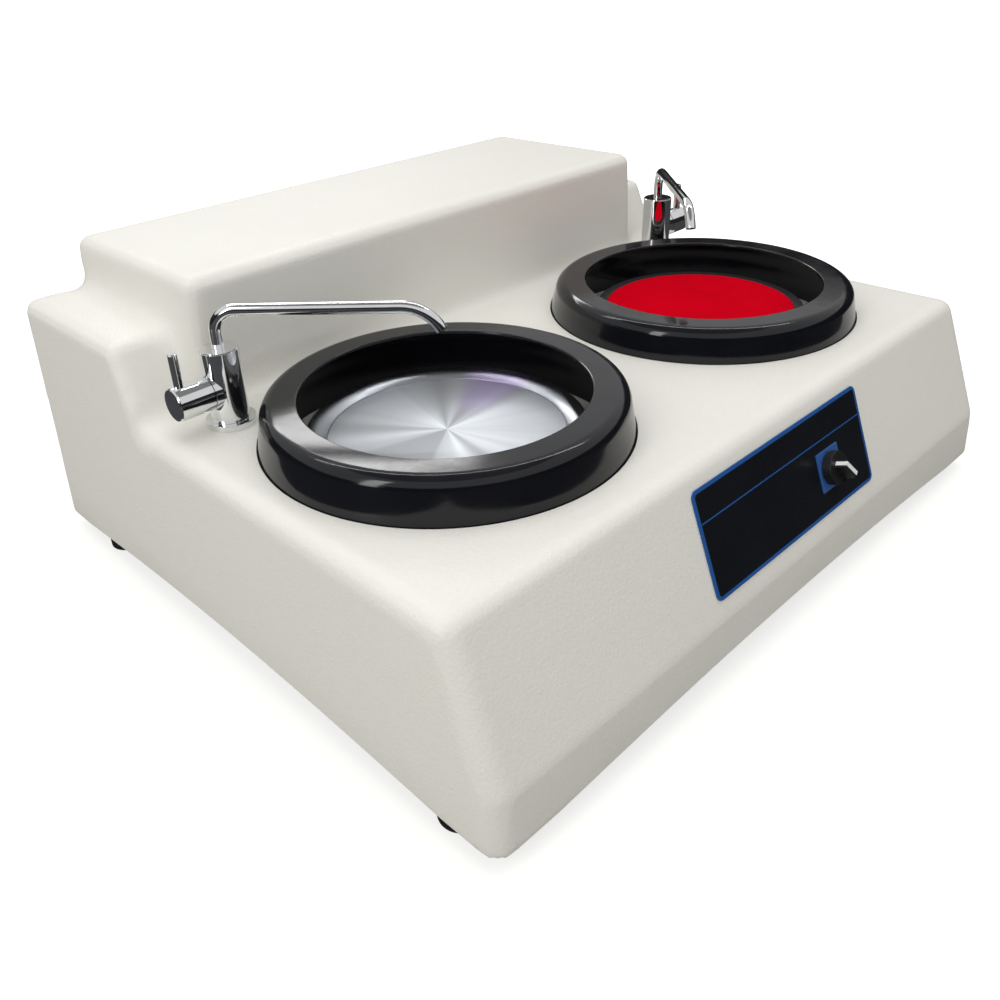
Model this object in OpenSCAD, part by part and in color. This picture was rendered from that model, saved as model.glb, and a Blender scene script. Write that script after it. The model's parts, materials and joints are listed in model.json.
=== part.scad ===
/* [Body] */
// Width of the body at its lower rim
body_w = 699; // [660:1:800]
// How far each side wall leans in between the rim and the deck
side_draft = 6.7; // [2:0.1:12]
// Height of the deck above the lower rim
skirt_h = 154.5; // [150:0.5:200]
// Distance from the wheel axes forward to the front edge of the deck
deck_front = 177.4; // [170:0.1:230]
// How far the sloping panel face comes forward
slope_run = 43.8; // [20:0.1:70]
// How far the sloping panel face goes down
slope_drop = 109.3; // [106:0.1:122]
// How far the front skirt leans out below the slope
skirt_run = 2.9; // [0.5:0.1:8]
// Distance from the wheel axes back to the top of the rear wall
body_back = 373.7; // [362:0.1:430]
// How far the rear wall leans out from its top to the rim
rear_draft = 6.2; // [2:0.1:12]
// Thickness of the moulded wall
wall = 5; // [4:0.5:7]
// Rise of the lower rim in the middle of each side
rim_arch = 12.2; // [4:0.1:13]
// Radius of the upright corners
corner_r = 17; // [10:1:24]
// Radius of the edges of the deck
edge_r = 15; // [8:1:20]

/* [Rear box] */
// Height of the rear box above the deck
box_h = 107.1; // [100:0.1:140]
// Width of the deck's strip beside the rear box's top
box_inset = 63.2; // [45:0.1:100]
// How far each side of the rear box leans out down to the deck
box_side_run = 11.4; // [4:0.1:20]
// Distance from the wheel axes back to the front of the rear box
box_front = 170; // [168:0.5:178]
// Radius of the edges of the rear box and shoulders
box_edge_r = 12; // [6:1:18]
// Radius of the hollow where the box rises from the deck
box_fillet_r = 15; // [6:0.5:15]
// Height of the low shoulders beside the box
shoulder_h = 63.3; // [50:0.1:80]
// Distance from the wheel axes back to the top front edge of the shoulders
shoulder_front = 202; // [196:0.5:220]
// How far the front of each shoulder slopes forward down to the deck
shoulder_run = 27; // [10:0.5:30]

/* [Basins] */
// Distance between the two wheel axes
wheel_spacing = 342; // [336:1:350]
// Gap between each basin's wall and its splash ring
basin_gap = 0.8; // [0.5:0.1:4]
// Depth of the basin floor below the deck
basin_depth = 24; // [22:0.5:30]
// Radius of the floor hole round each bearing nose
nose_hole_r = 27.5; // [27.4:0.1:30]

/* [Splash rings] */
// Outer radius of a splash ring at the deck
ring_r = 145.5; // [144:0.1:147]
// How much a splash ring narrows from the deck up to its round shoulder
ring_narrowing = 4.2; // [1:0.1:6]
// Radius of the round shoulder of a splash ring
ring_round_r = 11; // [6:0.5:14]
// Radius of the opening of a splash ring
ring_mouth_r = 111.8; // [111:0.1:118]
// Wall thickness of a splash ring
ring_wall = 3; // [2:0.1:4]
// Rise of the left splash ring above the deck
ring_rise_left = 33; // [28:0.5:40]
// Rise of the right splash ring above the deck
ring_rise_right = 28.8; // [26:0.1:40]

/* [Wheels] */
// Radius of the left platen
platen_left_r = 104.6; // [100:0.1:104.8]
// Top of the left platen below the deck
platen_left_sink = 3.8; // [2:0.1:6]
// Radius of the right platen
platen_right_r = 94.8; // [92:0.1:96]
// Top of the right platen above the deck
platen_right_rise = 0.2; // [0:0.1:2]
// Underside of both platens below the deck
platen_floor = 12; // [10.5:0.5:13]
// Outer radius of the left clamp hoop
hoop_left_r = 110; // [109:0.1:110.5]
// Radius of the top edge of the left hoop's bevel
bevel_top_r = 101; // [99:0.1:102]
// Radius of the lower edge of the left hoop's bevel
bevel_low_r = 93.3; // [90:0.1:96]
// Height of the left hoop's top above the deck
hoop_left_rise = 0.7; // [0.2:0.1:2]
// Outer radius of the right clamp hoop
hoop_right_r = 99.5; // [98:0.1:101]
// Height of the right hoop's top above the deck
hoop_right_rise = 1.4; // [1:0.1:3]
// Radius of the polishing cloth
cloth_r = 89.9; // [80:0.1:91]
// Thickness of the polishing cloth
cloth_t = 1.5; // [1:0.1:3]
// Drop of both hoops below the deck
hoop_drop = 14; // [13:0.5:16]

/* [Drive] */
// Radius of the spindles in their bearings
spindle_r = 10; // [8:0.5:11]
// Outer radius of the bearings
bearing_r = 23.5; // [20:0.5:25]
// Width of each bearing
bearing_w = 14; // [10:1:15]
// Outer radius of the bearing housing tube
bearing_tube_r = 30; // [28:0.5:34]
// Radius of the bearing housing flange
bearing_flange_r = 50; // [46:1:56]
// Radius of the bolt circle of the bearing housing flange
bearing_bolt_pcr = 41; // [39:0.5:44]
// Gap between the bearing housings and the belt grooves
bearing_lift = 6; // [4:0.5:10]
// Radius of the spindle pulleys
spindle_pulley_r = 60; // [50:1:70]
// Radius of the motor pulley
motor_pulley_r = 30; // [24:0.5:40]
// Height of one belt groove with its flanges
groove_pitch = 12; // [11:0.5:13]
// Depth of the belt grooves
groove_depth = 4; // [3:0.5:5]
// Thickness of a drive belt
belt_t = 6; // [5:0.5:8]
// Height of the belt grooves' top above the base plate
pulley_lift = 40; // [39:0.5:41]
// Distance from the wheel axes back to the motor axis
motor_back = 255; // [250:1:270]
// Radius of the motor body
motor_r = 66; // [55:1:68]
// Gap between the motor's top and the top of the rear box
motor_headroom = 15.1; // [14:0.1:40]
// Radius of the motor shaft
motor_shaft_r = 9.5; // [7:0.5:11]
// Height of the motor bracket's top above the belt grooves
bracket_lift = 34; // [28:0.5:36]
// Radius of the capacitor can
capacitor_r = 22; // [16:1:26]
// Height of the capacitor can
capacitor_h = 92; // [70:1:110]

/* [Base] */
// Height of the feet below the lower rim
foot_drop = 16.5; // [10:0.5:24]
// Radius of the rubber feet
foot_r = 17; // [14:0.5:18]
// Distance of the feet in from the sides of the lower rim
foot_inset = 23.5; // [23.5:0.5:30]
// Distance from the wheel axes forward to the front feet
foot_front = 168; // [150:1:190]
// Distance from the wheel axes back to the rear feet
foot_back = 302; // [290:1:350]
// Height of the base plate's top above the lower rim
plate_rise = 16.5; // [16:0.5:18]
// Thickness of the base plate
plate_t = 2.5; // [2:0.1:3]

/* [Taps] */
// Distance of each tap outward from its wheel axis
tap_out = 110.2; // [105:0.1:117]
// Distance from the wheel axes back to the taps
tap_back = 134; // [128:0.5:135]
// Radius of a tap's flange
tap_flange_r = 20; // [18:0.5:20]
// Height of a tap's flange
tap_flange_h = 5; // [3:0.5:8]
// Radius of a tap's upright body
tap_r = 15.3; // [13:0.1:17]
// Height of a tap's upright body
tap_h = 63.5; // [58:0.5:70]
// Height of the valve axis above the deck
valve_z = 30.5; // [24:0.5:36]
// Radius of the valve barrel and its knob
valve_r = 13.5; // [11:0.5:14.5]
// Distance from the tap's axis out to the end of the valve barrel
valve_reach = 15.6; // [15.4:0.1:18]
// Length of the valve knob
knob_l = 29.3; // [24:0.1:34]
// Radius of the lever pin
lever_r = 3.75; // [3:0.05:5]
// Distance from the outer end of the knob in to the lever pin
lever_inset = 7.5; // [5:0.5:12]
// Height of the lever pin's tip above the valve axis
lever_rise = 40; // [30:0.5:44]
// Outer radius of the spout tube
spout_r = 4.75; // [4:0.05:6]
// Wall of the spout tube
spout_wall = 1; // [0.8:0.1:1.4]
// Height of the first spout bend's end above the deck
spout_h = 93.6; // [88:0.1:98]
// Radius of the first spout bend
spout_bend_r = 18; // [12:0.5:20]
// Upward slope of the spout's run in degrees
spout_slope = 0.3; // [0:0.1:5]
// Length of the spout's straight run
spout_run = 126; // [100:1:132]
// Radius of the spout's last bend
spout_drop_r = 32.6; // [26:0.1:44]
// Downward angle of the spout's tip
spout_tip_angle = 63.1; // [30:0.1:70]
// Angle of the left spout forward of the line between the taps
spout_azimuth_left = 48.8; // [30:0.1:60]
// Angle of the right spout forward of the line between the taps
spout_azimuth_right = 45.9; // [30:0.1:60]

/* [Water] */
// Outer radius of the drain pipes
drain_r = 11; // [9:0.5:12]
// Wall of the drain pipes
drain_wall = 2.5; // [2:0.1:3]
// Distance of each drain from its wheel axis
drain_offset = 118; // [112:1:122]
// Angle of each drain behind the line between the wheels
drain_angle = 60; // [50:1:70]
// Depth of the drain pipes' level run below the deck
drain_low = 75; // [70:1:90]
// Reach of the drain pipes behind the rear wall
rear_reach = 18; // [17:0.5:40]
// Radius of the drain pipes' hose ends
drain_spigot_r = 10; // [8.5:0.5:11]
// Outer radius of the water pipe
pipe_r = 5; // [4:0.5:6]
// Depth of the water pipe below the deck
pipe_low = 42; // [41:0.5:43]
// Distance of the water inlet to the right of the middle
inlet_x = 125; // [122:1:150]
// Radius of the water inlet's spigot
spigot_r = 6; // [5:0.5:7]
// Distance of the cable gland to the left of the middle
gland_x = 125; // [110:1:150]
// Depth of the cable gland below the deck
gland_low = 60; // [50:1:80]
// Radius of the cable hole in the gland
cable_r = 4.5; // [3:0.5:5.5]

/* [Panel] */
// Width of the control panel
panel_w = 238; // [200:1:300]
// Height of the control panel along the slope
panel_h = 86; // [70:1:88]
// Distance of the control panel's middle from the middle of the machine
panel_x = 7.5; // [-20:0.5:20]
// Distance from the deck's edge down the slope to the panel
panel_top = 16; // [13:0.5:18]
// Thickness of the control panel
panel_t = 1.2; // [0.8:0.1:2]
// Radius of the control panel's corners
panel_corner_r = 6; // [3:0.5:10]
// Distance of the switch from the middle of the machine
switch_x = 63.5; // [20:0.5:90]
// Distance from the deck's edge down the slope to the switch
switch_down = 66.7; // [64:0.1:75]
// Side of the square switch plate
switch_plate_w = 33; // [30:0.5:36]
// Thickness of the switch plate
switch_plate_t = 1.6; // [1:0.1:3]
// Radius of the switch knob's drum
drum_r = 14; // [12:0.5:15]
// Height of the drum's face above the sloping face
drum_h = 10.5; // [8:0.5:14]
// Height of the grip's crest above the sloping face
grip_h = 20; // [17:0.5:26]
// Width of the grip
grip_w = 7; // [5:0.5:9]
// Angle of the grip from the upward direction
grip_angle = 40; // [0:1:60]

/* [Hidden] */

// Finish of the circles, and of the balls that round the body
$fn = 96;
form_fn = 32;
arch_fn = 720;
belt_fn = 64;
// Overrun of every cut past the face that it opens
over = 1;
// How deep a form is tucked inside the wall that it grows from
tuck = 0.6;
// Running gap of a shaft in its bore, and the clearance of fixed pieces
run_gap = 0.05;
// Thickness of the adhesive film under the control panel
glue_t = 0.05;
hole_gap = 0.3;
free_gap = 0.5;

// The deck's plane is z = 0 and the wheel axes stand on y = 0 until each piece is placed.
deck_half = body_w / 2 - side_draft;
rim_half = body_w / 2;
rim_front = deck_front + slope_run + skirt_run;
rim_back = body_back + rear_draft;
deck_z = foot_drop + skirt_h;
wheel_y = (rim_front - rim_back - rear_reach) / 2;
slope_lean = atan(slope_run / slope_drop);
shoulder_lean = atan(shoulder_run / shoulder_h);
wheel_x = wheel_spacing / 2;
tap_x = wheel_x + tap_out;
foot_x = rim_half - foot_inset;
box_half = deck_half - box_inset;
basin_r = ring_r + basin_gap;
ring_waist_r = ring_r - ring_narrowing;
plate_top = plate_rise - skirt_h;
pulley_top = -plate_top - pulley_lift;
bearing_low = pulley_top - bearing_lift;
bracket_top = pulley_top - bracket_lift;
motor_h = box_h + bracket_top - motor_headroom;

// How deep the upper forms reach below the deck
form_sink = edge_r + box_edge_r;
rim_band = 1;

// Basin values
basin_wall = 4;
floor_t = 5;
floor_low = -basin_depth - floor_t;

// Wheel and spindle values
bevel_lip = 0.4;
rebate_h = 0.6;
head_r = 30;
head_t = 6;
pilot_h = 3.5;
collar_r = 13;
hub_r = 14;
spindle_tail = 3;
nose_r = 27;
nose_rise = 4;
nose_bore_r = 14;
flange_t = 8;
seat_lip = 2;
bearing_gap = 0.02;
axial_gap = 0.4;
bolt_r = 3;
bolt_head_r = 5.5;
bolt_head_h = 4;
bolt_bite = 3.5;

upper_bearing_low = floor_low - seat_lip - bearing_w;
lower_bearing_low = seat_lip - bearing_low;

// Belt values
groove_edge = 1.5;

// Motor values
motor_flange_r = 74;
motor_flange_t = 8;
motor_bolt_pcr = 69;
motor_bell_h = 24;
fin_count = 24;
fin_t = 2.4;
fin_rise = 3;
motor_bell_r = motor_r - fin_rise;
shaft_depth = 60;
bracket_t = 5;
bracket_half = 105;
bracket_depth = 100;
bracket_foot = 22;
boss_hole_r = 22;
shaft_tail = 2;
clamp_t = 3;
clamp_h = 18;
clamp_foot_h = 3;
clamp_foot_w = 20;
capacitor_out = 15;
capacitor_x = wheel_x + capacitor_out;
capacitor_back = 305;

// Base values
lug_w = 24;
lug_h = 18;
lug_share = 0.5436;
lug_x = lug_share * rim_half;
lug_front_y = -70;
lug_back_y = 215;
screw_r = 2;
screw_head_r = 4.5;
screw_head_h = 3;
screw_bite = 12;
foot_taper = 2;
foot_recess = 5;
foot_head_r = 6;
foot_head_h = 4;
foot_nut_r = 6.5;
foot_nut_h = 5;
slot_w = 6;
slot_l = 70;
slot_pitch = 16;
slot_count = 7;

// Tap values
tap_top_chamfer = 0.8;
tap_tail_r = 10;
tap_tail_low = 30;
tap_nut_r = 18;
tap_nut_h = 8;
spout_seat = 14;
spout_mouth = 4;
spout_steps = 8;
spout_sides = 32;
spout_foot = tap_h - spout_seat + axial_gap;
spout_rise = spout_h - spout_bend_r - spout_foot;
valve_stem_r = 5;
valve_stem_l = 9;
valve_gap = 0.6;
knob_chamfer = 1;
lever_chamfer = 1;

// Water values
drain_flange_r = 16;
drain_flange_t = 2;
drain_bend_r = 25;
drain_nut_r = 17;
drain_nut_h = 8;
pipe_wall = 1;
fitting_r = 9;
fitting_l = 22;
inlet_body_r = 10;
inlet_nut_r = 13;
inlet_nut_t = 6;
inlet_bore_r = 4;
gland_r = 10;
gland_dome_r = 13;
gland_out = 15;
gland_nut_t = 5;
nut_fn = 6;

// Switch values
neck_r = 11;
switch_block_w = 36;
switch_block_l = 46;
stem_r = 3;
stem_l = 14;
drum_gap = 0.4;
grip_front_share = 0.46;
grip_crest_share = 0.77;
grip_tail_share = 0.93;
grip_low_share = 0.5;
grip_front = drum_r * grip_front_share;
grip_crest = drum_r * grip_crest_share;
grip_tail = drum_r * grip_tail_share;
pointer_w = 3.4;
pointer_back = 0.5;
pointer_t = 0.6;

function slope_y(z) = -deck_front + slope_run * z / slope_drop;
function half_at(z) = deck_half - side_draft * z / skirt_h;
function back_at(z) = body_back + rear_draft * (box_h - z) / (box_h + skirt_h);
// Where a fitting seats on the leaning rear wall
function fitting_y(low) = back_at(-low) + hole_gap;
function shoulder_y(z) = shoulder_front - shoulder_run * (shoulder_h - z) / shoulder_h;
function arc(cx, cy, r, from, to, steps) =
    [for (i = [0:steps]) let (a = from + (to - from) * i / steps) [cx + r * cos(a), cy + r * sin(a)]];

// Places a piece that is drawn from the deck's plane and the wheel axes.
module place() translate([0, wheel_y, deck_z]) children();

// Draws its children at the left axis with side -1 and at the right axis with side 1.
module at_wheel(side) translate([side * wheel_x, 0, 0]) children();

// Turns the outward direction of a tap's children to the near side of the machine.
module at_tap(side) translate([side * tap_x, tap_back, 0]) mirror([side < 0 ? 1 : 0, 0, 0]) children();

// On the sloping face x runs right, y up the slope and z straight out of it.
module on_slope() translate([0, -deck_front, 0]) rotate([90 - slope_lean, 0, 0]) children();

// A ball whose facets reach its full radius along the axes
module ball(r) sphere(r = r / cos(180 / form_fn), $fn = form_fn);

module rod(r, low, high) translate([0, 0, low]) cylinder(r = r, h = high - low);

module hex(r, low, high) translate([0, 0, low]) cylinder(r = r, h = high - low, $fn = nut_fn);

module rounded_plate(w, h, r, t)
    linear_extrude(t) polygon(concat(
        arc(w / 2 - r, h / 2 - r, r, 0, 90, 6), arc(r - w / 2, h / 2 - r, r, 90, 180, 6),
        arc(r - w / 2, r - h / 2, r, 180, 270, 6), arc(w / 2 - r, r - h / 2, r, 270, 360, 6)));

// A straight tube that hands its far end to its children.
module straight_tube(r, bore, length) {
    difference() {
        cylinder(r = r, h = length);
        translate([0, 0, -over]) cylinder(r = bore, h = length + 2 * over);
    }
    translate([0, 0, length]) children();
}

// A tube bent from +z towards +x that hands its far end to its children.
module bent_tube(r, bore, bend_r, angle) {
    translate([bend_r, 0, 0]) rotate([90, 0, 0]) rotate([0, 0, 180 - angle])
        rotate_extrude(angle = angle) translate([bend_r, 0]) difference() {
            circle(r = r);
            circle(r = bore);
        }
    translate([bend_r * (1 - cos(angle)), 0, bend_r * sin(angle)]) rotate([0, angle, 0]) children();
}

// The forms of the moulding: an inset of zero gives the outside, and one of the wall gives the room inside.
module lower_form(inset) hull() for (side = [-1, 1]) {
    translate([side * (deck_half - edge_r), edge_r * tan((90 - slope_lean) / 2) - deck_front, -edge_r])
        ball(edge_r - inset);
    translate([side * (deck_half - edge_r), back_at(0) - edge_r, -edge_r]) ball(edge_r - inset);
    translate([side * (half_at(-slope_drop) - corner_r), corner_r - deck_front - slope_run,
               -slope_drop - corner_r * tan(slope_lean / 2)]) ball(corner_r - inset);
    for (y = [corner_r - rim_front, rim_back - corner_r])
        translate([side * (rim_half - corner_r), y, -skirt_h - inset * rim_band])
            cylinder(r = corner_r - inset, h = rim_band, $fn = form_fn);
}

module box_form(inset) hull() for (side = [-1, 1]) {
    for (y = [box_front + box_edge_r, body_back - box_edge_r])
        translate([side * (box_half - box_edge_r), y, box_h - box_edge_r]) ball(box_edge_r - inset);
    for (y = [box_front + box_edge_r, back_at(-form_sink) - box_edge_r - tuck])
        translate([side * (box_half + box_side_run - box_edge_r), y, -form_sink]) ball(box_edge_r - inset);
}

module shoulder_form(inset) hull() for (side = [-1, 1]) {
    for (y = [shoulder_front + box_edge_r * tan((90 - shoulder_lean) / 2),
              back_at(shoulder_h) - tuck - box_edge_r])
        translate([side * (half_at(shoulder_h) - box_edge_r), y, shoulder_h - box_edge_r])
            ball(box_edge_r - inset);
    for (y = [shoulder_y(-form_sink) + box_edge_r / cos(shoulder_lean),
              back_at(-form_sink) - 2 * tuck - box_edge_r])
        translate([side * (half_at(-form_sink) - tuck - box_edge_r), y, -form_sink]) ball(box_edge_r - inset);
}

// A hollow corner strip along the foot of the box's front
module box_fillet() translate([-box_half, box_front - box_fillet_r, 0])
    rotate([90, 0, 90]) linear_extrude(2 * box_half) difference() {
        translate([0, -tuck]) square([box_fillet_r + box_edge_r, box_fillet_r + tuck]);
        translate([0, box_fillet_r]) circle(r = box_fillet_r);
        translate([-over, box_fillet_r]) square([box_fillet_r + box_edge_r + 2 * over, box_fillet_r]);
    }

// Each lug stands inside a wall and takes one screw of the base plate.
module at_lugs() {
    for (side = [-1, 1]) {
        translate([side * lug_x, wall + lug_w / 2 - rim_front, plate_top]) children();
        translate([side * lug_x, rim_back - wall - lug_w / 2, plate_top]) children();
        for (y = [lug_front_y, lug_back_y])
            translate([side * (rim_half - wall - lug_w / 2), y, plate_top]) children();
    }
}

module lugs() {
    lug_l = lug_w + wall / 2;
    for (side = [-1, 1]) {
        for (y = [wall / 2 - deck_front - slope_run, rim_back - wall / 2 - lug_l])
            translate([side * lug_x - lug_w / 2, y, plate_top]) cube([lug_w, lug_l, lug_h]);
        for (y = [lug_front_y, lug_back_y])
            translate([side * (half_at(plate_top) - wall / 2 - lug_l / 2), y, plate_top + lug_h / 2])
                cube([lug_l, lug_w, lug_h], center = true);
    }
}

// One long shallow arch under each pair of opposite walls
module rim_arch_cut(half_length, turn) {
    arch_r = (half_length * half_length + rim_arch * rim_arch) / (2 * rim_arch);
    translate([0, 0, rim_arch - skirt_h - arch_r]) rotate([90, 0, turn])
        cylinder(r = arch_r, h = 4 * body_w, center = true, $fn = arch_fn);
}

module housing() color([0.93, 0.92, 0.88]) place() difference() {
    union() {
        difference() {
            union() {
                lower_form(0);
                box_form(0);
                shoulder_form(0);
                box_fillet();
            }
            lower_form(wall);
            box_form(wall);
            shoulder_form(wall);
        }
        for (side = [-1, 1]) at_wheel(side) rod(basin_r + basin_wall, floor_low, -wall / 2);
        lugs();
    }
    rim_arch_cut(rim_half - corner_r, 0);
    translate([0, (rim_back - rim_front) / 2, 0]) rim_arch_cut((rim_front + rim_back) / 2 - corner_r, 90);
    for (side = [-1, 1]) {
        at_wheel(side) {
            rod(basin_r, -basin_depth, over);
            rod(nose_hole_r, floor_low - over, -basin_depth + over);
            at_bearing_bolts() rod(bolt_r + hole_gap, floor_low - over, floor_low + bolt_bite);
        }
        at_drain(side) rod(drain_r + hole_gap, floor_low - over, -basin_depth + over);
        at_drain_end(side) rotate([-90, 0, 0]) rod(drain_r + hole_gap, -4 * wall, wall);
        at_tap(side) rod(tap_tail_r + hole_gap, -2 * wall, over);
    }
    translate([inlet_x, fitting_y(pipe_low), -pipe_low]) rotate([-90, 0, 0])
        rod(inlet_body_r + hole_gap, -4 * wall, wall);
    translate([-gland_x, fitting_y(gland_low), -gland_low]) rotate([-90, 0, 0])
        rod(gland_r + hole_gap, -4 * wall, wall);
    on_slope() translate([switch_x, -switch_down, 0]) rod(neck_r + hole_gap, -2 * wall, over);
    at_lugs() rod(screw_r + hole_gap, -over, screw_bite);
}

module base_plate() color([0.55, 0.57, 0.58]) place() {
    plate_half = half_at(plate_top) - wall - free_gap;
    plate_front = wall + free_gap - deck_front - slope_run
        - skirt_run * (-plate_top - slope_drop) / (skirt_h - slope_drop);
    plate_back = back_at(plate_top - plate_t) - wall - free_gap - rear_draft * lug_h / skirt_h;
    difference() {
        translate([0, (plate_front + plate_back) / 2, plate_top - plate_t])
            rounded_plate(2 * plate_half, plate_back - plate_front, corner_r, plate_t);
        at_lugs() rod(screw_r + hole_gap, -plate_t - over, over);
        at_feet() rod(bolt_r + hole_gap, plate_top - plate_t - over, plate_top + over);
        at_bracket_screws() rod(bolt_r + hole_gap, -bracket_t - plate_t - over, over);
        for (side = [-1, 1], i = [0:slot_count - 1])
            translate([side * wheel_x + (i - (slot_count - 1) / 2) * slot_pitch, motor_back,
                       plate_top - plate_t / 2])
                cube([slot_w, slot_l, plate_t + 2 * over], center = true);
    }
}

module at_feet() for (side = [-1, 1], y = [-foot_front, foot_back])
    translate([side * foot_x, y, 0]) children();

module rubber_feet() color([0.08, 0.08, 0.09]) place() at_feet() difference() {
    rod(foot_r, -deck_z, plate_top - plate_t);
    rod(bolt_r + hole_gap, -deck_z - over, plate_top);
    rod(foot_head_r + hole_gap, -deck_z - over, -deck_z + foot_recess + foot_head_h);
}

module foot_bolts() color([0.7, 0.71, 0.72]) place() at_feet() {
    rod(foot_head_r, -deck_z + foot_recess, -deck_z + foot_recess + foot_head_h);
    rod(bolt_r, -deck_z + foot_recess, plate_top + foot_nut_h);
}

module foot_nuts() color([0.7, 0.71, 0.72]) place() at_feet() difference() {
    hex(foot_nut_r, plate_top, plate_top + foot_nut_h);
    rod(bolt_r + bearing_gap, plate_top - over, plate_top + foot_nut_h + over);
}

module plate_screws() color([0.7, 0.71, 0.72]) place() at_lugs() {
    rod(screw_head_r, -plate_t - screw_head_h, -plate_t);
    rod(screw_r, -plate_t - screw_head_h, screw_bite - over);
}

// A thin wall with a round shoulder, an inward lip and a foot on the basin floor
module splash_ring(rise) {
    shoulder_x = ring_waist_r - ring_round_r;
    shoulder_z = rise - ring_round_r;
    lip_r = ring_wall / 2;
    rotate_extrude() polygon(concat(
        [[ring_r, -basin_depth], [ring_r, 0]],
        arc(shoulder_x, shoulder_z, ring_round_r, 0, 90, 9),
        arc(ring_mouth_r + lip_r, rise - lip_r, lip_r, 90, 270, 6),
        arc(shoulder_x, shoulder_z, ring_round_r - ring_wall, 90, 0, 9),
        [[ring_r - ring_wall, 0], [ring_r - ring_wall, -basin_depth]]));
}

module splash_ring_left() color([0.07, 0.07, 0.08]) place() at_wheel(-1) splash_ring(ring_rise_left);

module splash_ring_right() color([0.07, 0.07, 0.08]) place() at_wheel(1) splash_ring(ring_rise_right);

module platen(r, face_r, top) difference() {
    union() {
        rod(r, -platen_floor, top - rebate_h);
        rod(face_r, -platen_floor, top);
    }
    rod(spindle_r + run_gap, -platen_floor - over, pilot_h + run_gap - platen_floor);
}

module platen_left() color([0.75, 0.76, 0.8]) place() at_wheel(-1)
    platen(platen_left_r, bevel_low_r - hole_gap, -platen_left_sink);

module platen_right() color([0.75, 0.76, 0.8]) place() at_wheel(1)
    platen(platen_right_r, cloth_r, platen_right_rise);

// Each hoop lies on its platen's rim and hangs down outside it.
module clamp_hoop_left() color([0.3, 0.32, 0.35]) place() at_wheel(-1) rotate_extrude() polygon([
    [bevel_low_r, -platen_left_sink - rebate_h], [bevel_low_r, bevel_lip - platen_left_sink],
    [bevel_top_r, hoop_left_rise], [hoop_left_r, hoop_left_rise], [hoop_left_r, -hoop_drop],
    [platen_left_r + hole_gap, -hoop_drop], [platen_left_r + hole_gap, -platen_left_sink - rebate_h]]);

module clamp_hoop_right() color([0.16, 0.16, 0.18]) place() at_wheel(1) rotate_extrude() polygon([
    [cloth_r + hole_gap, platen_right_rise - rebate_h], [cloth_r + hole_gap, hoop_right_rise],
    [hoop_right_r, hoop_right_rise], [hoop_right_r, -hoop_drop],
    [platen_right_r + hole_gap, -hoop_drop], [platen_right_r + hole_gap, platen_right_rise - rebate_h]]);

module polishing_cloth() color([0.8, 0.03, 0.12]) place() at_wheel(1)
    rod(cloth_r, platen_right_rise, platen_right_rise + cloth_t);

// The spindle carries the platen on its head and the pulley at its foot.
module spindle(pulley_low) {
    collar_low = floor_low - seat_lip + axial_gap;
    rotate_extrude() polygon([
        [0, pulley_low - spindle_tail], [spindle_r - run_gap, pulley_low - spindle_tail],
        [spindle_r - run_gap, collar_low], [collar_r, collar_low],
        [collar_r, -platen_floor - head_t], [head_r, -platen_floor - head_t], [head_r, -platen_floor],
        [spindle_r - run_gap, -platen_floor], [spindle_r - run_gap, pilot_h - platen_floor],
        [0, pilot_h - platen_floor]]);
}

module spindle_left() color([0.72, 0.73, 0.75]) place() at_wheel(-1) spindle(-pulley_top - groove_pitch);

module spindle_right() color([0.72, 0.73, 0.75]) place() at_wheel(1) spindle(-pulley_top - 2 * groove_pitch);

module at_bearing_bolts() for (a = [45:90:315]) rotate([0, 0, a])
    translate([bearing_bolt_pcr, 0, 0]) children();

module bearing_housing() difference() {
    union() {
        rod(nose_r, floor_low - over, nose_rise - basin_depth);
        rod(bearing_flange_r, floor_low - flange_t, floor_low);
        rod(bearing_tube_r, -bearing_low, floor_low - flange_t + over);
    }
    rod(nose_bore_r, -bearing_low - over, nose_rise - basin_depth + over);
    rod(bearing_r + bearing_gap, -bearing_low - over, floor_low - seat_lip);
    at_bearing_bolts() rod(bolt_r + hole_gap, floor_low - flange_t - over, floor_low + over);
}

module bearing_housing_left() color([0.35, 0.37, 0.38]) place() at_wheel(-1) bearing_housing();

module bearing_housing_right() color([0.35, 0.37, 0.38]) place() at_wheel(1) bearing_housing();

module bearing_bolts() color([0.7, 0.71, 0.72]) place() for (side = [-1, 1]) at_wheel(side)
    at_bearing_bolts() {
    hex(bolt_head_r, floor_low - flange_t - bolt_head_h, floor_low - flange_t);
    rod(bolt_r, floor_low - flange_t - bolt_head_h, floor_low + bolt_bite - run_gap);
}

module bearing(low) difference() {
    rod(bearing_r, low, low + bearing_w);
    rod(spindle_r, low - over, low + bearing_w + over);
}

module upper_bearing_left() color([0.6, 0.62, 0.64]) place() at_wheel(-1) bearing(upper_bearing_low);

module lower_bearing_left() color([0.6, 0.62, 0.64]) place() at_wheel(-1) bearing(lower_bearing_low);

module upper_bearing_right() color([0.6, 0.62, 0.64]) place() at_wheel(1) bearing(upper_bearing_low);

module lower_bearing_right() color([0.6, 0.62, 0.64]) place() at_wheel(1) bearing(lower_bearing_low);

// A grooved pulley of one or more tracks, from its low face up
module pulley(r, bore, low, tracks) difference() {
    rod(r, low, low + tracks * groove_pitch);
    rod(bore, low - over, low + tracks * groove_pitch + over);
    for (i = [0:tracks - 1]) difference() {
        rod(r + over, low + i * groove_pitch + groove_edge, low + (i + 1) * groove_pitch - groove_edge);
        rod(r - groove_depth, low, low + tracks * groove_pitch);
    }
}

module spindle_pulley_left() color([0.5, 0.52, 0.53]) place() at_wheel(-1)
    pulley(spindle_pulley_r, spindle_r, -pulley_top - groove_pitch, 1);

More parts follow.
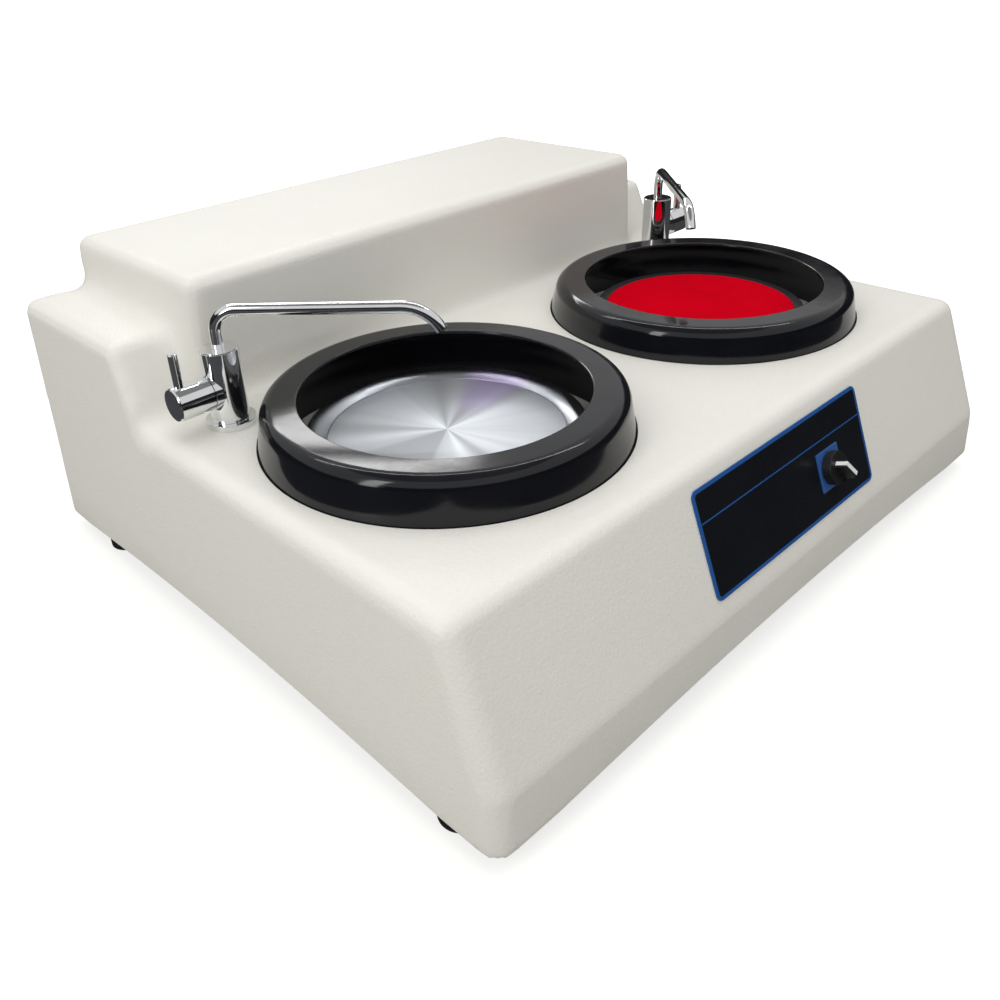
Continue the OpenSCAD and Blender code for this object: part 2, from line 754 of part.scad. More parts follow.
module spindle_pulley_right() color([0.5, 0.52, 0.53]) place() at_wheel(1)
    pulley(spindle_pulley_r, spindle_r, -pulley_top - 2 * groove_pitch, 1);

// A flat loop round the motor pulley and one spindle pulley
module belt(side, low) {
    belt_gap = hole_gap;
    translate([0, 0, low + groove_edge + belt_gap])
        linear_extrude(groove_pitch - 2 * groove_edge - 2 * belt_gap) difference() {
            belt_outline(side, belt_gap + belt_t);
            belt_outline(side, belt_gap);
        }
}

module belt_outline(side, grow) hull() {
    translate([side * wheel_x, 0]) circle(r = spindle_pulley_r - groove_depth + grow, $fn = belt_fn);
    translate([0, motor_back]) circle(r = motor_pulley_r - groove_depth + grow, $fn = belt_fn);
}

module drive_belt_left() color([0.1, 0.1, 0.1]) place() belt(-1, -pulley_top - groove_pitch);

module drive_belt_right() color([0.1, 0.1, 0.1]) place() belt(1, -pulley_top - 2 * groove_pitch);

module at_motor() translate([0, motor_back, 0]) children();

module at_motor_bolts() for (a = [45:90:315]) rotate([0, 0, a]) translate([motor_bolt_pcr, 0, 0]) children();

module motor_body() color([0.2, 0.35, 0.45]) place() at_motor() difference() {
    union() {
        rod(motor_flange_r, -bracket_top, motor_flange_t - bracket_top);
        rod(motor_bell_r, -bracket_top, motor_h - bracket_top);
        for (i = [0:fin_count - 1]) rotate([0, 0, i * 360 / fin_count])
            translate([motor_bell_r - fin_rise, -fin_t / 2, motor_flange_t + motor_bell_h - bracket_top])
                cube([motor_r - motor_bell_r + fin_rise, fin_t, motor_h - motor_flange_t - 2 * motor_bell_h]);
    }
    rod(motor_shaft_r + run_gap, -bracket_top - over, shaft_depth - bracket_top);
    at_motor_bolts() rod(bolt_r + hole_gap, -bracket_top - over, motor_flange_t - bracket_top + over);
}

module motor_shaft() color([0.72, 0.73, 0.75]) place() at_motor()
    rod(motor_shaft_r, -pulley_top - 2 * groove_pitch - shaft_tail, shaft_depth - bracket_top - axial_gap);

module motor_pulley() color([0.5, 0.52, 0.53]) place() at_motor()
    pulley(motor_pulley_r, motor_shaft_r, -pulley_top - 2 * groove_pitch, 2);

// A bridge of steel plate that holds the motor above the base plate
module motor_bracket() color([0.55, 0.57, 0.58]) place() at_motor() difference() {
    union() {
        translate([-bracket_half, -bracket_depth / 2, -bracket_top - bracket_t])
            cube([2 * bracket_half, bracket_depth, bracket_t]);
        for (side = [-1, 1]) {
            translate([side * (bracket_half - bracket_t / 2) - bracket_t / 2, -bracket_depth / 2, plate_top])
                cube([bracket_t, bracket_depth, -bracket_top - plate_top]);
            translate([side * (bracket_half + (bracket_foot - bracket_t) / 2), 0, plate_top + bracket_t / 2])
                cube([bracket_foot + bracket_t, bracket_depth, bracket_t], center = true);
        }
    }
    rod(boss_hole_r, -bracket_top - bracket_t - over, -bracket_top + over);
    at_motor_bolts() rod(bolt_r + hole_gap, -bracket_top - bracket_t - over, -bracket_top + over);
    translate([0, -motor_back, 0]) at_bracket_screws() rod(bolt_r + hole_gap, -bracket_t - over, over);
}

module motor_bolts() color([0.7, 0.71, 0.72]) place() at_motor() at_motor_bolts() {
    hex(bolt_head_r, -bracket_top - bracket_t - bolt_head_h, -bracket_top - bracket_t);
    rod(bolt_r, -bracket_top - bracket_t - bolt_head_h, motor_flange_t - bracket_top);
}

module at_bracket_screws() for (side = [-1, 1], y = [-1, 1])
    translate([side * (bracket_half + bracket_foot / 2), motor_back + y * (bracket_depth - bracket_foot) / 2,
               plate_top + bracket_t]) children();

module bracket_screws() color([0.7, 0.71, 0.72]) place() at_bracket_screws() {
    hex(bolt_head_r, 0, bolt_head_h);
    rod(bolt_r, -bracket_t - plate_t - bolt_head_h, bolt_head_h);
    hex(bolt_head_r, -bracket_t - plate_t - bolt_head_h, -bracket_t - plate_t);
}

module at_capacitor() translate([-capacitor_x, capacitor_back, plate_top]) children();

module capacitor() color([0.82, 0.83, 0.84]) place() at_capacitor() rod(capacitor_r, 0, capacitor_h);

module capacitor_clamp() color([0.7, 0.71, 0.72]) place() at_capacitor() difference() {
    union() {
        rod(capacitor_r + clamp_t, 0, clamp_h);
        translate([-capacitor_r - clamp_t - clamp_foot_w, -clamp_foot_w / 2, 0])
            cube([2 * (capacitor_r + clamp_t + clamp_foot_w), clamp_foot_w, clamp_foot_h]);
    }
    rod(capacitor_r + bearing_gap, -over, clamp_h + over);
}

module at_drain(side) translate([side * (wheel_x + drain_offset * cos(drain_angle)),
                                 drain_offset * sin(drain_angle), 0]) children();

module at_drain_end(side)
    translate([side * (wheel_x + drain_offset * cos(drain_angle)), rim_back, -drain_low]) children();

// The drain hangs from the basin floor and runs level to the rear.
module drain_pipe(side) {
    bore = drain_r - drain_wall;
    level_l = rim_back + over - drain_offset * sin(drain_angle) - drain_bend_r;
    at_drain(side) {
        difference() {
            rod(drain_flange_r, -basin_depth, drain_flange_t - basin_depth);
            rod(bore, -basin_depth - over, drain_flange_t - basin_depth + over);
        }
        translate([0, 0, -basin_depth]) rotate([180, 0, 90])
            straight_tube(drain_r, bore, drain_low - basin_depth - drain_bend_r)
            bent_tube(drain_r, bore, drain_bend_r, 90)
            straight_tube(drain_r, bore, level_l)
            straight_tube(drain_spigot_r, bore, rear_reach - over);
    }
}

module drain_pipe_left() color([0.75, 0.76, 0.77]) place() drain_pipe(-1);

module drain_pipe_right() color([0.75, 0.76, 0.77]) place() drain_pipe(1);

module drain_nuts() color([0.4, 0.41, 0.42]) place() for (side = [-1, 1]) at_drain(side) difference() {
    hex(drain_nut_r, floor_low - drain_nut_h, floor_low);
    rod(drain_r + bearing_gap, floor_low - drain_nut_h - over, floor_low + over);
}

// The tap's upright body with its flange, threaded tail and level valve barrel
module tap_body() difference() {
    union() {
        rod(tap_tail_r, -tap_tail_low, over);
        rod(tap_flange_r, 0, tap_flange_h);
        rod(tap_r, 0, tap_h - tap_top_chamfer);
        rod(tap_r - tap_top_chamfer, 0, tap_h);
        translate([0, 0, valve_z]) rotate([0, 90, 0]) rod(valve_r, 0, valve_reach);
    }
    rod(spout_r + run_gap, tap_h - spout_seat, tap_h + over);
    translate([0, 0, valve_z]) rotate([0, 90, 0])
        rod(valve_stem_r + run_gap, valve_reach - valve_stem_l - axial_gap, tap_r + over);
}

module tap_body_left() color([0.8, 0.81, 0.82]) place() at_tap(-1) tap_body();

module tap_body_right() color([0.8, 0.81, 0.82]) place() at_tap(1) tap_body();

module tap_nuts() color([0.7, 0.62, 0.4]) place() for (side = [-1, 1]) at_tap(side) difference() {
    hex(tap_nut_r, -wall - tap_nut_h, -wall);
    rod(tap_tail_r + bearing_gap, -wall - tap_nut_h - over, over - wall);
}

// Stations along the spout from its foot: distance out, height, lean from upright and radius
function bend_stations(x, z, lean, bend_r, angle) = [for (i = [0:spout_steps])
    let (a = lean + angle * i / spout_steps)
    [x + bend_r * (cos(lean) - cos(a)), z + bend_r * (sin(a) - sin(lean)), a, spout_r]];

run_lean = 90 - spout_slope;
run_x = spout_bend_r * (1 - cos(run_lean)) + spout_run * sin(run_lean);
run_z = spout_rise + spout_bend_r * sin(run_lean) + spout_run * cos(run_lean);
outer_stations = concat(
    [[0, 0, 0, spout_r]],
    bend_stations(0, spout_rise, 0, spout_bend_r, run_lean),
    bend_stations(run_x, run_z, run_lean, spout_drop_r, 90 + spout_tip_angle - run_lean));
tip = outer_stations[len(outer_stations) - 1];
mouth_r = spout_r - spout_wall;
spout_stations = concat(outer_stations, [
    [tip[0], tip[1], tip[2], mouth_r],
    [tip[0] - spout_mouth * sin(tip[2]), tip[1] - spout_mouth * cos(tip[2]), tip[2], mouth_r]]);

// A round rod swept through the stations, closed at both ends
module swept_rod(stations, sides) {
    count = len(stations);
    ring = [for (j = [0:sides - 1]) j];
    polyhedron(
        [for (s = stations, j = ring) let (a = 360 * j / sides)
            [s[0] + s[3] * cos(a) * cos(s[2]), s[3] * sin(a), s[1] - s[3] * cos(a) * sin(s[2])]],
        concat([ring],
            [for (i = [0:count - 2], j = ring)
                [(i + 1) * sides + (j + 1) % sides, i * sides + (j + 1) % sides, i * sides + j]],
            [for (i = [0:count - 2], j = ring)
                [(i + 1) * sides + j, (i + 1) * sides + (j + 1) % sides, i * sides + j]],
            [[for (j = ring) count * sides - 1 - j]]));
}

// The spout rises from the body, runs over the ring and bends down to its open tip.
module tap_spout(azimuth) translate([0, 0, spout_foot]) rotate([0, 0, 180 + azimuth])
    swept_rod(spout_stations, spout_sides);

module tap_spout_left() color([0.8, 0.81, 0.82]) place() at_tap(-1) tap_spout(spout_azimuth_left);

module tap_spout_right() color([0.8, 0.81, 0.82]) place() at_tap(1) tap_spout(spout_azimuth_right);

// The knob turns on the valve's axis and its lever pin stands up.
module tap_handle() {
    knob_low = valve_reach + valve_gap;
    knob_high = knob_low + knob_l;
    translate([0, 0, valve_z]) {
        rotate([0, 90, 0]) rotate_extrude() polygon([
            [0, valve_reach - valve_stem_l], [valve_stem_r, valve_reach - valve_stem_l],
            [valve_stem_r, knob_low], [valve_r, knob_low], [valve_r, knob_high - knob_chamfer],
            [valve_r - knob_chamfer, knob_high], [0, knob_high]]);
        translate([knob_high - lever_inset, 0, 0]) rotate_extrude() polygon([
            [0, 0], [lever_r, 0], [lever_r, lever_rise - lever_chamfer],
            [lever_r - lever_chamfer, lever_rise], [0, lever_rise]]);
    }
}

module tap_handle_left() color([0.8, 0.81, 0.82]) place() at_tap(-1) tap_handle();

module tap_handle_right() color([0.8, 0.81, 0.82]) place() at_tap(1) tap_handle();

// One cross pipe feeds both taps and takes its water from the rear.
module water_pipe() color([0.72, 0.45, 0.3]) place() difference() {
    union() {
        translate([-tap_x, tap_back, -pipe_low]) rotate([0, 90, 0]) rod(pipe_r, 0, 2 * tap_x);
        translate([inlet_x, tap_back, -pipe_low]) rotate([-90, 0, 0])
            rod(pipe_r, 0, fitting_y(pipe_low) - wall - inlet_nut_t - tap_back);
        for (side = [-1, 1]) at_tap(side) rod(fitting_r, -tap_tail_low - fitting_l, -tap_tail_low);
    }
    translate([inlet_x, tap_back, -pipe_low]) rotate([-90, 0, 0])
        rod(pipe_r - pipe_wall, 0, rim_back - tap_back);
    translate([-tap_x, tap_back, -pipe_low]) rotate([0, 90, 0]) rod(pipe_r - pipe_wall, 0, 2 * tap_x);
}

module water_inlet() color([0.78, 0.68, 0.4]) place() translate([inlet_x, fitting_y(pipe_low), -pipe_low])
    rotate([-90, 0, 0]) difference() {
        union() {
            hex(inlet_nut_r, -wall - inlet_nut_t, -wall - 2 * free_gap);
            rod(inlet_body_r, -wall - inlet_nut_t, 0);
            hex(inlet_nut_r, 0, inlet_nut_t / 2);
            rod(spigot_r, 0, rear_reach - over);
        }
        rod(inlet_bore_r, -wall - inlet_nut_t - over, rear_reach + over);
    }

module cable_gland() color([0.1, 0.1, 0.11]) place() translate([-gland_x, fitting_y(gland_low), -gland_low])
    rotate([-90, 0, 0]) difference() {
        union() {
            hex(gland_dome_r, -wall - gland_nut_t - 2 * free_gap, -wall - 2 * free_gap);
            rod(gland_r, -wall - gland_nut_t - 2 * free_gap, gland_nut_t);
            hex(gland_dome_r, 0, gland_nut_t);
            rod(gland_r, gland_nut_t - over, gland_out);
        }
        rod(cable_r, -wall - gland_nut_t - 2 * over, gland_out + over);
    }

module control_panel() color([0.08, 0.09, 0.12]) place() on_slope() difference() {
    translate([panel_x, -panel_top - panel_h / 2, glue_t])
        rounded_plate(panel_w, panel_h, panel_corner_r, panel_t - glue_t);
    translate([switch_x, -switch_down, 0]) rod(neck_r + hole_gap, -over, panel_t + over);
}

module at_switch() on_slope() translate([switch_x, -switch_down, 0]) children();

module switch_plate() color([0.15, 0.3, 0.62]) place() at_switch() difference() {
    translate([-switch_plate_w / 2, -switch_plate_w / 2, panel_t])
        cube([switch_plate_w, switch_plate_w, switch_plate_t]);
    rod(neck_r + hole_gap, 0, panel_t + switch_plate_t + over);
}

module switch_body() color([0.12, 0.12, 0.13]) place() at_switch() difference() {
    union() {
        translate([-switch_block_w / 2, -switch_block_w / 2, -wall - switch_block_l])
            cube([switch_block_w, switch_block_w, switch_block_l]);
        rod(neck_r, -wall - over, panel_t + switch_plate_t);
    }
    rod(stem_r + run_gap, panel_t + switch_plate_t - stem_l, panel_t + switch_plate_t + over);
}

// A round drum with a raised grip across its face
module switch_knob() color([0.06, 0.06, 0.07]) place() at_switch() {
    drum_low = panel_t + switch_plate_t + drum_gap;
    rod(drum_r, drum_low, drum_h);
    rod(stem_r, drum_low - stem_l + 2 * axial_gap, drum_low + over);
    rotate([0, 0, grip_angle]) grip();
}

// The grip stands upright at its pointing end and falls away to the other.
module grip() rotate([90, 0, 90]) translate([0, 0, -grip_w / 2]) linear_extrude(grip_w) polygon([
    [-grip_tail, drum_h - over], [-grip_tail, drum_h + (grip_h - drum_h) * grip_low_share],
    [-grip_crest, grip_h], [grip_front, grip_h], [grip_front, drum_h - over]]);

// The pointer runs along the grip's crest and down its upright end.
module knob_pointer() color([0.95, 0.95, 0.95]) place() at_switch() rotate([0, 0, grip_angle])
    rotate([90, 0, 90]) translate([0, 0, -pointer_w / 2]) linear_extrude(pointer_w) polygon([
        [pointer_back - grip_crest, grip_h], [grip_front, grip_h], [grip_front, drum_h],
        [grip_front + pointer_t, drum_h], [grip_front + pointer_t, grip_h + pointer_t],
        [pointer_back - grip_crest, grip_h + pointer_t]]);

housing();
base_plate();
rubber_feet();
foot_bolts();
foot_nuts();
plate_screws();
splash_ring_left();
splash_ring_right();
platen_left();
platen_right();
clamp_hoop_left();
clamp_hoop_right();
polishing_cloth();
spindle_left();
spindle_right();
bearing_housing_left();
bearing_housing_right();
bearing_bolts();
upper_bearing_left();
lower_bearing_left();
upper_bearing_right();
lower_bearing_right();
spindle_pulley_left();
spindle_pulley_right();
drive_belt_left();
drive_belt_right();
motor_body();
motor_shaft();
motor_pulley();
motor_bracket();
motor_bolts();
bracket_screws();
capacitor();
capacitor_clamp();
drain_pipe_left();
drain_pipe_right();
drain_nuts();
tap_body_left();
tap_body_right();
tap_nuts();
tap_spout_left();
tap_spout_right();
tap_handle_left();
tap_handle_right();
water_pipe();
water_inlet();
cable_gland();
control_panel();
switch_plate();
switch_body();
switch_knob();
knob_pointer();
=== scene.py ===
import json
import math

import bmesh
import bpy
import numpy as np
from mathutils import Matrix, Vector

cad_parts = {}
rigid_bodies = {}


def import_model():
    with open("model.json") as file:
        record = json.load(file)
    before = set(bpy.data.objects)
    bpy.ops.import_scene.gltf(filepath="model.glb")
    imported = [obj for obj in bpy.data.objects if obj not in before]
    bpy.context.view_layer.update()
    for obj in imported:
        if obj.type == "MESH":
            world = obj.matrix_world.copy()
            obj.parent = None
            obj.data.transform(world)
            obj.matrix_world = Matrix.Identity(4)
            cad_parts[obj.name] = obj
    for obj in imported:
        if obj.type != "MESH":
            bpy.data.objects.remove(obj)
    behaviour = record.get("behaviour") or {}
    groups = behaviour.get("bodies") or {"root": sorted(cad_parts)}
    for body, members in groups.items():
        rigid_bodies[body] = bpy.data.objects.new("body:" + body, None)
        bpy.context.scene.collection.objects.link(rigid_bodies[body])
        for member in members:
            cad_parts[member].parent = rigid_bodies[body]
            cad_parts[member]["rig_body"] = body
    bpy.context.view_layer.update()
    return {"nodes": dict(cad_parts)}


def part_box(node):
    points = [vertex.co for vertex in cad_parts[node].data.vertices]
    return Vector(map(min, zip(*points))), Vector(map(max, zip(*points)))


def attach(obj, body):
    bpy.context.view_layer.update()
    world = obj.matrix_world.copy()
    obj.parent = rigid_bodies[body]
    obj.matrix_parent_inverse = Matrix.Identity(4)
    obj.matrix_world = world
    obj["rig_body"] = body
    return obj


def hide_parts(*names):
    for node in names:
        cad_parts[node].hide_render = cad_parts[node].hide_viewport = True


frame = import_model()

bl_info = {
    "name": "Double-Disc Polishing Machine",
    "version": (1, 0, 0),
    "blender": (4, 5, 0),
    "location": "View3D > Sidebar > Polisher",
    "description": "Dresses the polishing machine's frame with its moulding, metals and cloth",
    "category": "Object",
}

NODES = frame["nodes"]

# Distances in metres and angles in degrees for cleaning, rounding and shading the meshes
MERGE = 1e-6
DEGENERATE = 1e-7
FLAT_ANGLE = 0.25
SHARP_ANGLE = 32.0
SMOOTH_ANGLE = 38.0
NORMAL_WEIGHT = 80


# Shared helpers

def settings():
    return bpy.context.scene.polisher


def merged_copy(node):
    """A CAD node's mesh as a bmesh with its doubles merged and its flat faces joined."""
    bm = bmesh.new()
    bm.from_mesh(NODES[node].data)
    bmesh.ops.remove_doubles(bm, verts=bm.verts, dist=MERGE)
    bmesh.ops.dissolve_degenerate(bm, dist=DEGENERATE, edges=bm.edges)
    bmesh.ops.dissolve_limit(bm, angle_limit=math.radians(FLAT_ANGLE), verts=bm.verts, edges=bm.edges)
    return bm


def edge_angle(edge):
    """How sharply two faces meet, in radians, or zero on an open edge."""
    if not edge.is_manifold:
        return 0.0
    return edge.calc_face_angle(0.0)


def round_edges(bm, width, segments=2, angle=SHARP_ANGLE, where=None):
    """Rounds the sharp edges of a bmesh, or those that a test picks."""
    sharp = [e for e in bm.edges
             if edge_angle(e) > math.radians(angle) and (where is None or where(e))]
    bmesh.ops.bevel(
        bm, geom=sharp, offset=width, offset_type="OFFSET", segments=segments, profile=0.5,
        affect="EDGES", clamp_overlap=True, material=-1)


def link_object(name, data):
    made = bpy.data.objects.new(name, data)
    bpy.context.scene.collection.objects.link(made)
    return made


def mesh_object(bm, name):
    """Turns a bmesh into an object of the scene."""
    mesh = bpy.data.meshes.new(name)
    bm.to_mesh(mesh)
    bm.free()
    return link_object(name, mesh)


def add_piece(bm, name, body, material, replaces=(), weighted=True):
    """Turns a bmesh into a piece that rides on a body."""
    for face in bm.faces:
        face.smooth = True
    for edge in bm.edges:
        edge.smooth = edge_angle(edge) < math.radians(SMOOTH_ANGLE)
    piece = mesh_object(bm, name)
    piece.data.materials.append(material)
    if weighted:
        normals = piece.modifiers.new("Weighted Normals", "WEIGHTED_NORMAL")
        normals.mode = "FACE_AREA"
        normals.weight = NORMAL_WEIGHT
        normals.keep_sharp = True
    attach(piece, body)
    if replaces:
        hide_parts(*replaces)
    return piece


def body_of(node):
    return NODES[node]["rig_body"]


def dress_copy(node, name, material, width=0.0, segments=2, weighted=True, angle=SHARP_ANGLE):
    """Replaces a CAD node by its own merged copy with rounded edges."""
    bm = merged_copy(node)
    if width > 0:
        round_edges(bm, width, segments, angle)
    return add_piece(bm, name, body_of(node), material, (node,), weighted)


def dress_node(node, material):
    """Gives a CAD node that stays its material."""
    slots = NODES[node].data.materials
    if len(slots) == 0:
        slots.append(material)
    for i in range(len(slots)):
        slots[i] = material


# Node groups for the effects that materials share

def start_group(name, inputs, outputs):
    """A node group with a vector input, further inputs with their defaults, and number outputs."""
    group = bpy.data.node_groups.new(name, "ShaderNodeTree")
    group.interface.new_socket("Vector", in_out="INPUT", socket_type="NodeSocketVector")
    for label, default in inputs.items():
        kind = "NodeSocketVector" if isinstance(default, tuple) else "NodeSocketFloat"
        group.interface.new_socket(label, in_out="INPUT", socket_type=kind).default_value = default
    for label in outputs:
        group.interface.new_socket(label, in_out="OUTPUT", socket_type="NodeSocketFloat")
    start = group.nodes.new("NodeGroupInput")
    end = group.nodes.new("NodeGroupOutput")
    return group, start, end


def set_inputs(node, **values):
    """Sets a node's inputs by their names, with underscores for spaces."""
    for label, value in values.items():
        node.inputs[label.replace("_", " ")].default_value = value


def math_node(tree, operation, first, second=None, third=None):
    node = tree.nodes.new("ShaderNodeMath")
    node.operation = operation
    for i, value in enumerate((first, second, third)):
        if value is None:
            continue
        if isinstance(value, (int, float)):
            node.inputs[i].default_value = value
        else:
            tree.links.new(value, node.inputs[i])
    return node.outputs[0]


def scaled(tree, value, amount):
    return math_node(tree, "MULTIPLY", value, amount)


def length_node(tree, x, y):
    """The length of a flat vector."""
    squares = math_node(tree, "ADD", scaled(tree, x, x), scaled(tree, y, y))
    return math_node(tree, "SQRT", squares)


def split_node(tree, vector):
    node = tree.nodes.new("ShaderNodeSeparateXYZ")
    tree.links.new(vector, node.inputs[0])
    return node.outputs


def noise_node(tree, vector, scale, detail=2.0, roughness=0.5, distortion=0.0):
    node = tree.nodes.new("ShaderNodeTexNoise")
    tree.links.new(vector, node.inputs["Vector"])
    set_inputs(node, Detail=detail, Roughness=roughness, Distortion=distortion)
    if isinstance(scale, (int, float)):
        set_inputs(node, Scale=scale)
    else:
        tree.links.new(scale, node.inputs["Scale"])
    return node.outputs["Fac"]


def remap_node(tree, value, low, high, to_low=0.0, to_high=1.0):
    node = tree.nodes.new("ShaderNodeMapRange")
    node.interpolation_type = "SMOOTHSTEP"
    tree.links.new(value, node.inputs["Value"])
    set_inputs(node, From_Min=low, From_Max=high, To_Min=to_low, To_Max=to_high)
    return node.outputs["Result"]


def surface_grain_group():
    """Fine grain for bumps and broad clouds for colour and gloss."""
    group, start, end = start_group(
        "Surface Grain", {"Grain Scale": 900.0, "Cloud Scale": 9.0}, ("Grain", "Cloud"))
    grain = noise_node(group, start.outputs["Vector"], start.outputs["Grain Scale"], 3.0, 0.55)
    cloud = noise_node(group, start.outputs["Vector"], start.outputs["Cloud Scale"], 4.0, 0.6)
    group.links.new(remap_node(group, grain, 0.3, 0.7), end.inputs["Grain"])
    group.links.new(remap_node(group, cloud, 0.3, 0.7), end.inputs["Cloud"])
    return group


def turned_face_group():
    """Fine turned grooves round a vertical axis, and masks for painted highlights: the fans of light
    that the grooves throw, and a violet reflection on one side.
    """
    group, start, end = start_group(
        "Turned Face", {"Grooves": 2600.0}, ("Groove", "Painted Highlight Fan", "Tint", "Scratch"))
    # Direction, in radians, of the painted violet reflection.
    painted_reflection_angle = 0.35
    scratch_angle = math.radians(38.0)
    ring_scale = 900.0
    scratch_scale = 260.0
    vector = start.outputs["Vector"]
    split = split_node(group, vector)
    radius = length_node(group, split["X"], split["Y"])
    angle = math_node(group, "ARCTAN2", split["Y"], split["X"])
    groove = math_node(group, "SINE", scaled(group, radius, start.outputs["Grooves"]))
    ring = group.nodes.new("ShaderNodeCombineXYZ")
    group.links.new(scaled(group, radius, ring_scale), ring.inputs["X"])
    uneven = noise_node(group, ring.outputs[0], 1.0, 2.0, 0.6)
    height = math_node(group, "MULTIPLY_ADD", uneven, 1.4, scaled(group, groove, 0.3))
    group.links.new(height, end.inputs["Groove"])
    around = group.nodes.new("ShaderNodeCombineXYZ")
    group.links.new(math_node(group, "COSINE", angle), around.inputs["X"])
    group.links.new(math_node(group, "SINE", angle), around.inputs["Y"])
    # Painted highlight: a cross of light and dark sectors with broad fans, which the colour shows in
    # place of the light that the grooves throw.
    cross_light = math_node(group, "COSINE", scaled(group, angle, 2.0))
    painted_highlight_fan = noise_node(group, around.outputs[0], 1.5, 1.5, 0.5)
    mixed = math_node(group, "MULTIPLY_ADD", cross_light, -0.12, painted_highlight_fan)
    group.links.new(remap_node(group, mixed, 0.34, 0.66), end.inputs["Painted Highlight Fan"])
    # Painted reflection: a violet sheen in a narrow sector on one side, away from the middle.
    toward = math_node(group, "COSINE", math_node(group, "SUBTRACT", angle, painted_reflection_angle))
    outward = remap_node(group, radius, 0.02, 0.06)
    painted_reflection = scaled(group, remap_node(group, toward, 0.93, 1.0), outward)
    group.links.new(painted_reflection, end.inputs["Tint"])
    turn = group.nodes.new("ShaderNodeMapping")
    set_inputs(turn, Rotation=(0.0, 0.0, scratch_angle))
    group.links.new(vector, turn.inputs["Vector"])
    cross = group.nodes.new("ShaderNodeVectorMath")
    cross.operation = "MULTIPLY"
    cross.inputs[1].default_value = (1.0, 0.05, 1.0)
    group.links.new(turn.outputs[0], cross.inputs[0])
    scratch = noise_node(group, cross.outputs[0], scratch_scale, 1.0, 0.5, 0.6)
    group.links.new(remap_node(group, scratch, 0.74, 0.8), end.inputs["Scratch"])
    return group


def brushed_group():
    """Long fine streaks along one axis of rolled or drawn metal."""
    group, start, end = start_group(
        "Brushed Streaks", {"Stretch": (1.0, 0.04, 1.0), "Streak Scale": 1400.0}, ("Streak",))
    stretch = group.nodes.new("ShaderNodeVectorMath")
    stretch.operation = "MULTIPLY"
    group.links.new(start.outputs["Vector"], stretch.inputs[0])
    group.links.new(start.outputs["Stretch"], stretch.inputs[1])
    group.links.new(noise_node(group, stretch.outputs[0], start.outputs["Streak Scale"], 3.0, 0.6),
                    end.inputs["Streak"])
    return group


def settled_dust_group():
    """Fine polishing dust that settles on faces that look up, in broken patches."""
    group, start, end = start_group("Settled Dust", {"Amount": 0.3}, ("Dust",))
    geometry = group.nodes.new("ShaderNodeNewGeometry")
    upward = remap_node(group, split_node(group, geometry.outputs["Normal"])["Z"], 0.55, 0.98)
    broken = noise_node(group, start.outputs["Vector"], 38.0, 5.0, 0.65)
    patches = remap_node(group, broken, 0.42, 0.68)
    dust = scaled(group, scaled(group, upward, patches), start.outputs["Amount"])
    group.links.new(dust, end.inputs["Dust"])
    return group


def group_named(name):
    """A shared node group, made the first time it is asked for."""
    makers = {
        "Surface Grain": surface_grain_group, "Turned Face": turned_face_group,
        "Brushed Streaks": brushed_group, "Settled Dust": settled_dust_group,
        "Film Print": film_print_group,
    }
    found = bpy.data.node_groups.get(name)
    return found or makers[name]()


def film_print_group():
    """The printed border and rule of the control panel, in metres on the panel's own plane."""
    sizes = {"Half Width": 0.119, "Half Height": 0.043, "Border": 0.003, "Corner": 0.006,
             "Rule Height": 0.0175, "Rule Width": 0.0011}
    group, start, end = start_group("Film Print", sizes, ("Border Mask", "Rule Mask"))
    split = split_node(group, start.outputs["Vector"])
    corner = start.outputs["Corner"]

    def past(value, half):
        inner = math_node(group, "SUBTRACT", start.outputs[half], corner)
        return math_node(group, "SUBTRACT", math_node(group, "ABSOLUTE", value), inner)

    across = past(split["X"], "Half Width")
    along = past(split["Y"], "Half Height")
    outside = length_node(group, math_node(group, "MAXIMUM", across, 0.0),
                          math_node(group, "MAXIMUM", along, 0.0))
    inside = math_node(group, "MINIMUM", math_node(group, "MAXIMUM", across, along), 0.0)
    distance = math_node(group, "SUBTRACT", math_node(group, "ADD", outside, inside), corner)
    depth = math_node(group, "ADD", distance, start.outputs["Border"])
    group.links.new(math_node(group, "GREATER_THAN", depth, 0.0), end.inputs["Border Mask"])
    off = math_node(group, "SUBTRACT", split["Y"], start.outputs["Rule Height"])
    half_rule = scaled(group, start.outputs["Rule Width"], 0.5)
    rule = math_node(group, "LESS_THAN", math_node(group, "ABSOLUTE", off), half_rule)
    group.links.new(rule, end.inputs["Rule Mask"])
    return group


# Materials

def start_material(name):
    material = bpy.data.materials.new(name)
    material.use_nodes = True
    tree = material.node_tree
    shader = tree.nodes["Principled BSDF"]
    place = tree.nodes.new("ShaderNodeTexCoord").outputs["Object"]
    return material, tree, shader, place


def place_group(tree, name, vector, **values):
    node = tree.nodes.new("ShaderNodeGroup")
    node.node_tree = group_named(name)
    tree.links.new(vector, node.inputs["Vector"])
    set_inputs(node, **values)
    return node


def mix_colours(tree, factor, first, second):
    node = tree.nodes.new("ShaderNodeMix")
    node.data_type = "RGBA"
    for socket, value in ((node.inputs[0], factor), (node.inputs[6], first), (node.inputs[7], second)):
        if isinstance(value, bpy.types.NodeSocket):
            tree.links.new(value, socket)
        elif isinstance(value, (int, float)):
            socket.default_value = value
        else:
            socket.default_value = tuple(value)[:3] + (1.0,)
    return node.outputs[2]


def add_bump(tree, shader, height, strength, distance):
    bump = tree.nodes.new("ShaderNodeBump")
    set_inputs(bump, Strength=strength, Distance=distance)
    tree.links.new(height, bump.inputs["Height"])
    tree.links.new(bump.outputs["Normal"], shader.inputs["Normal"])


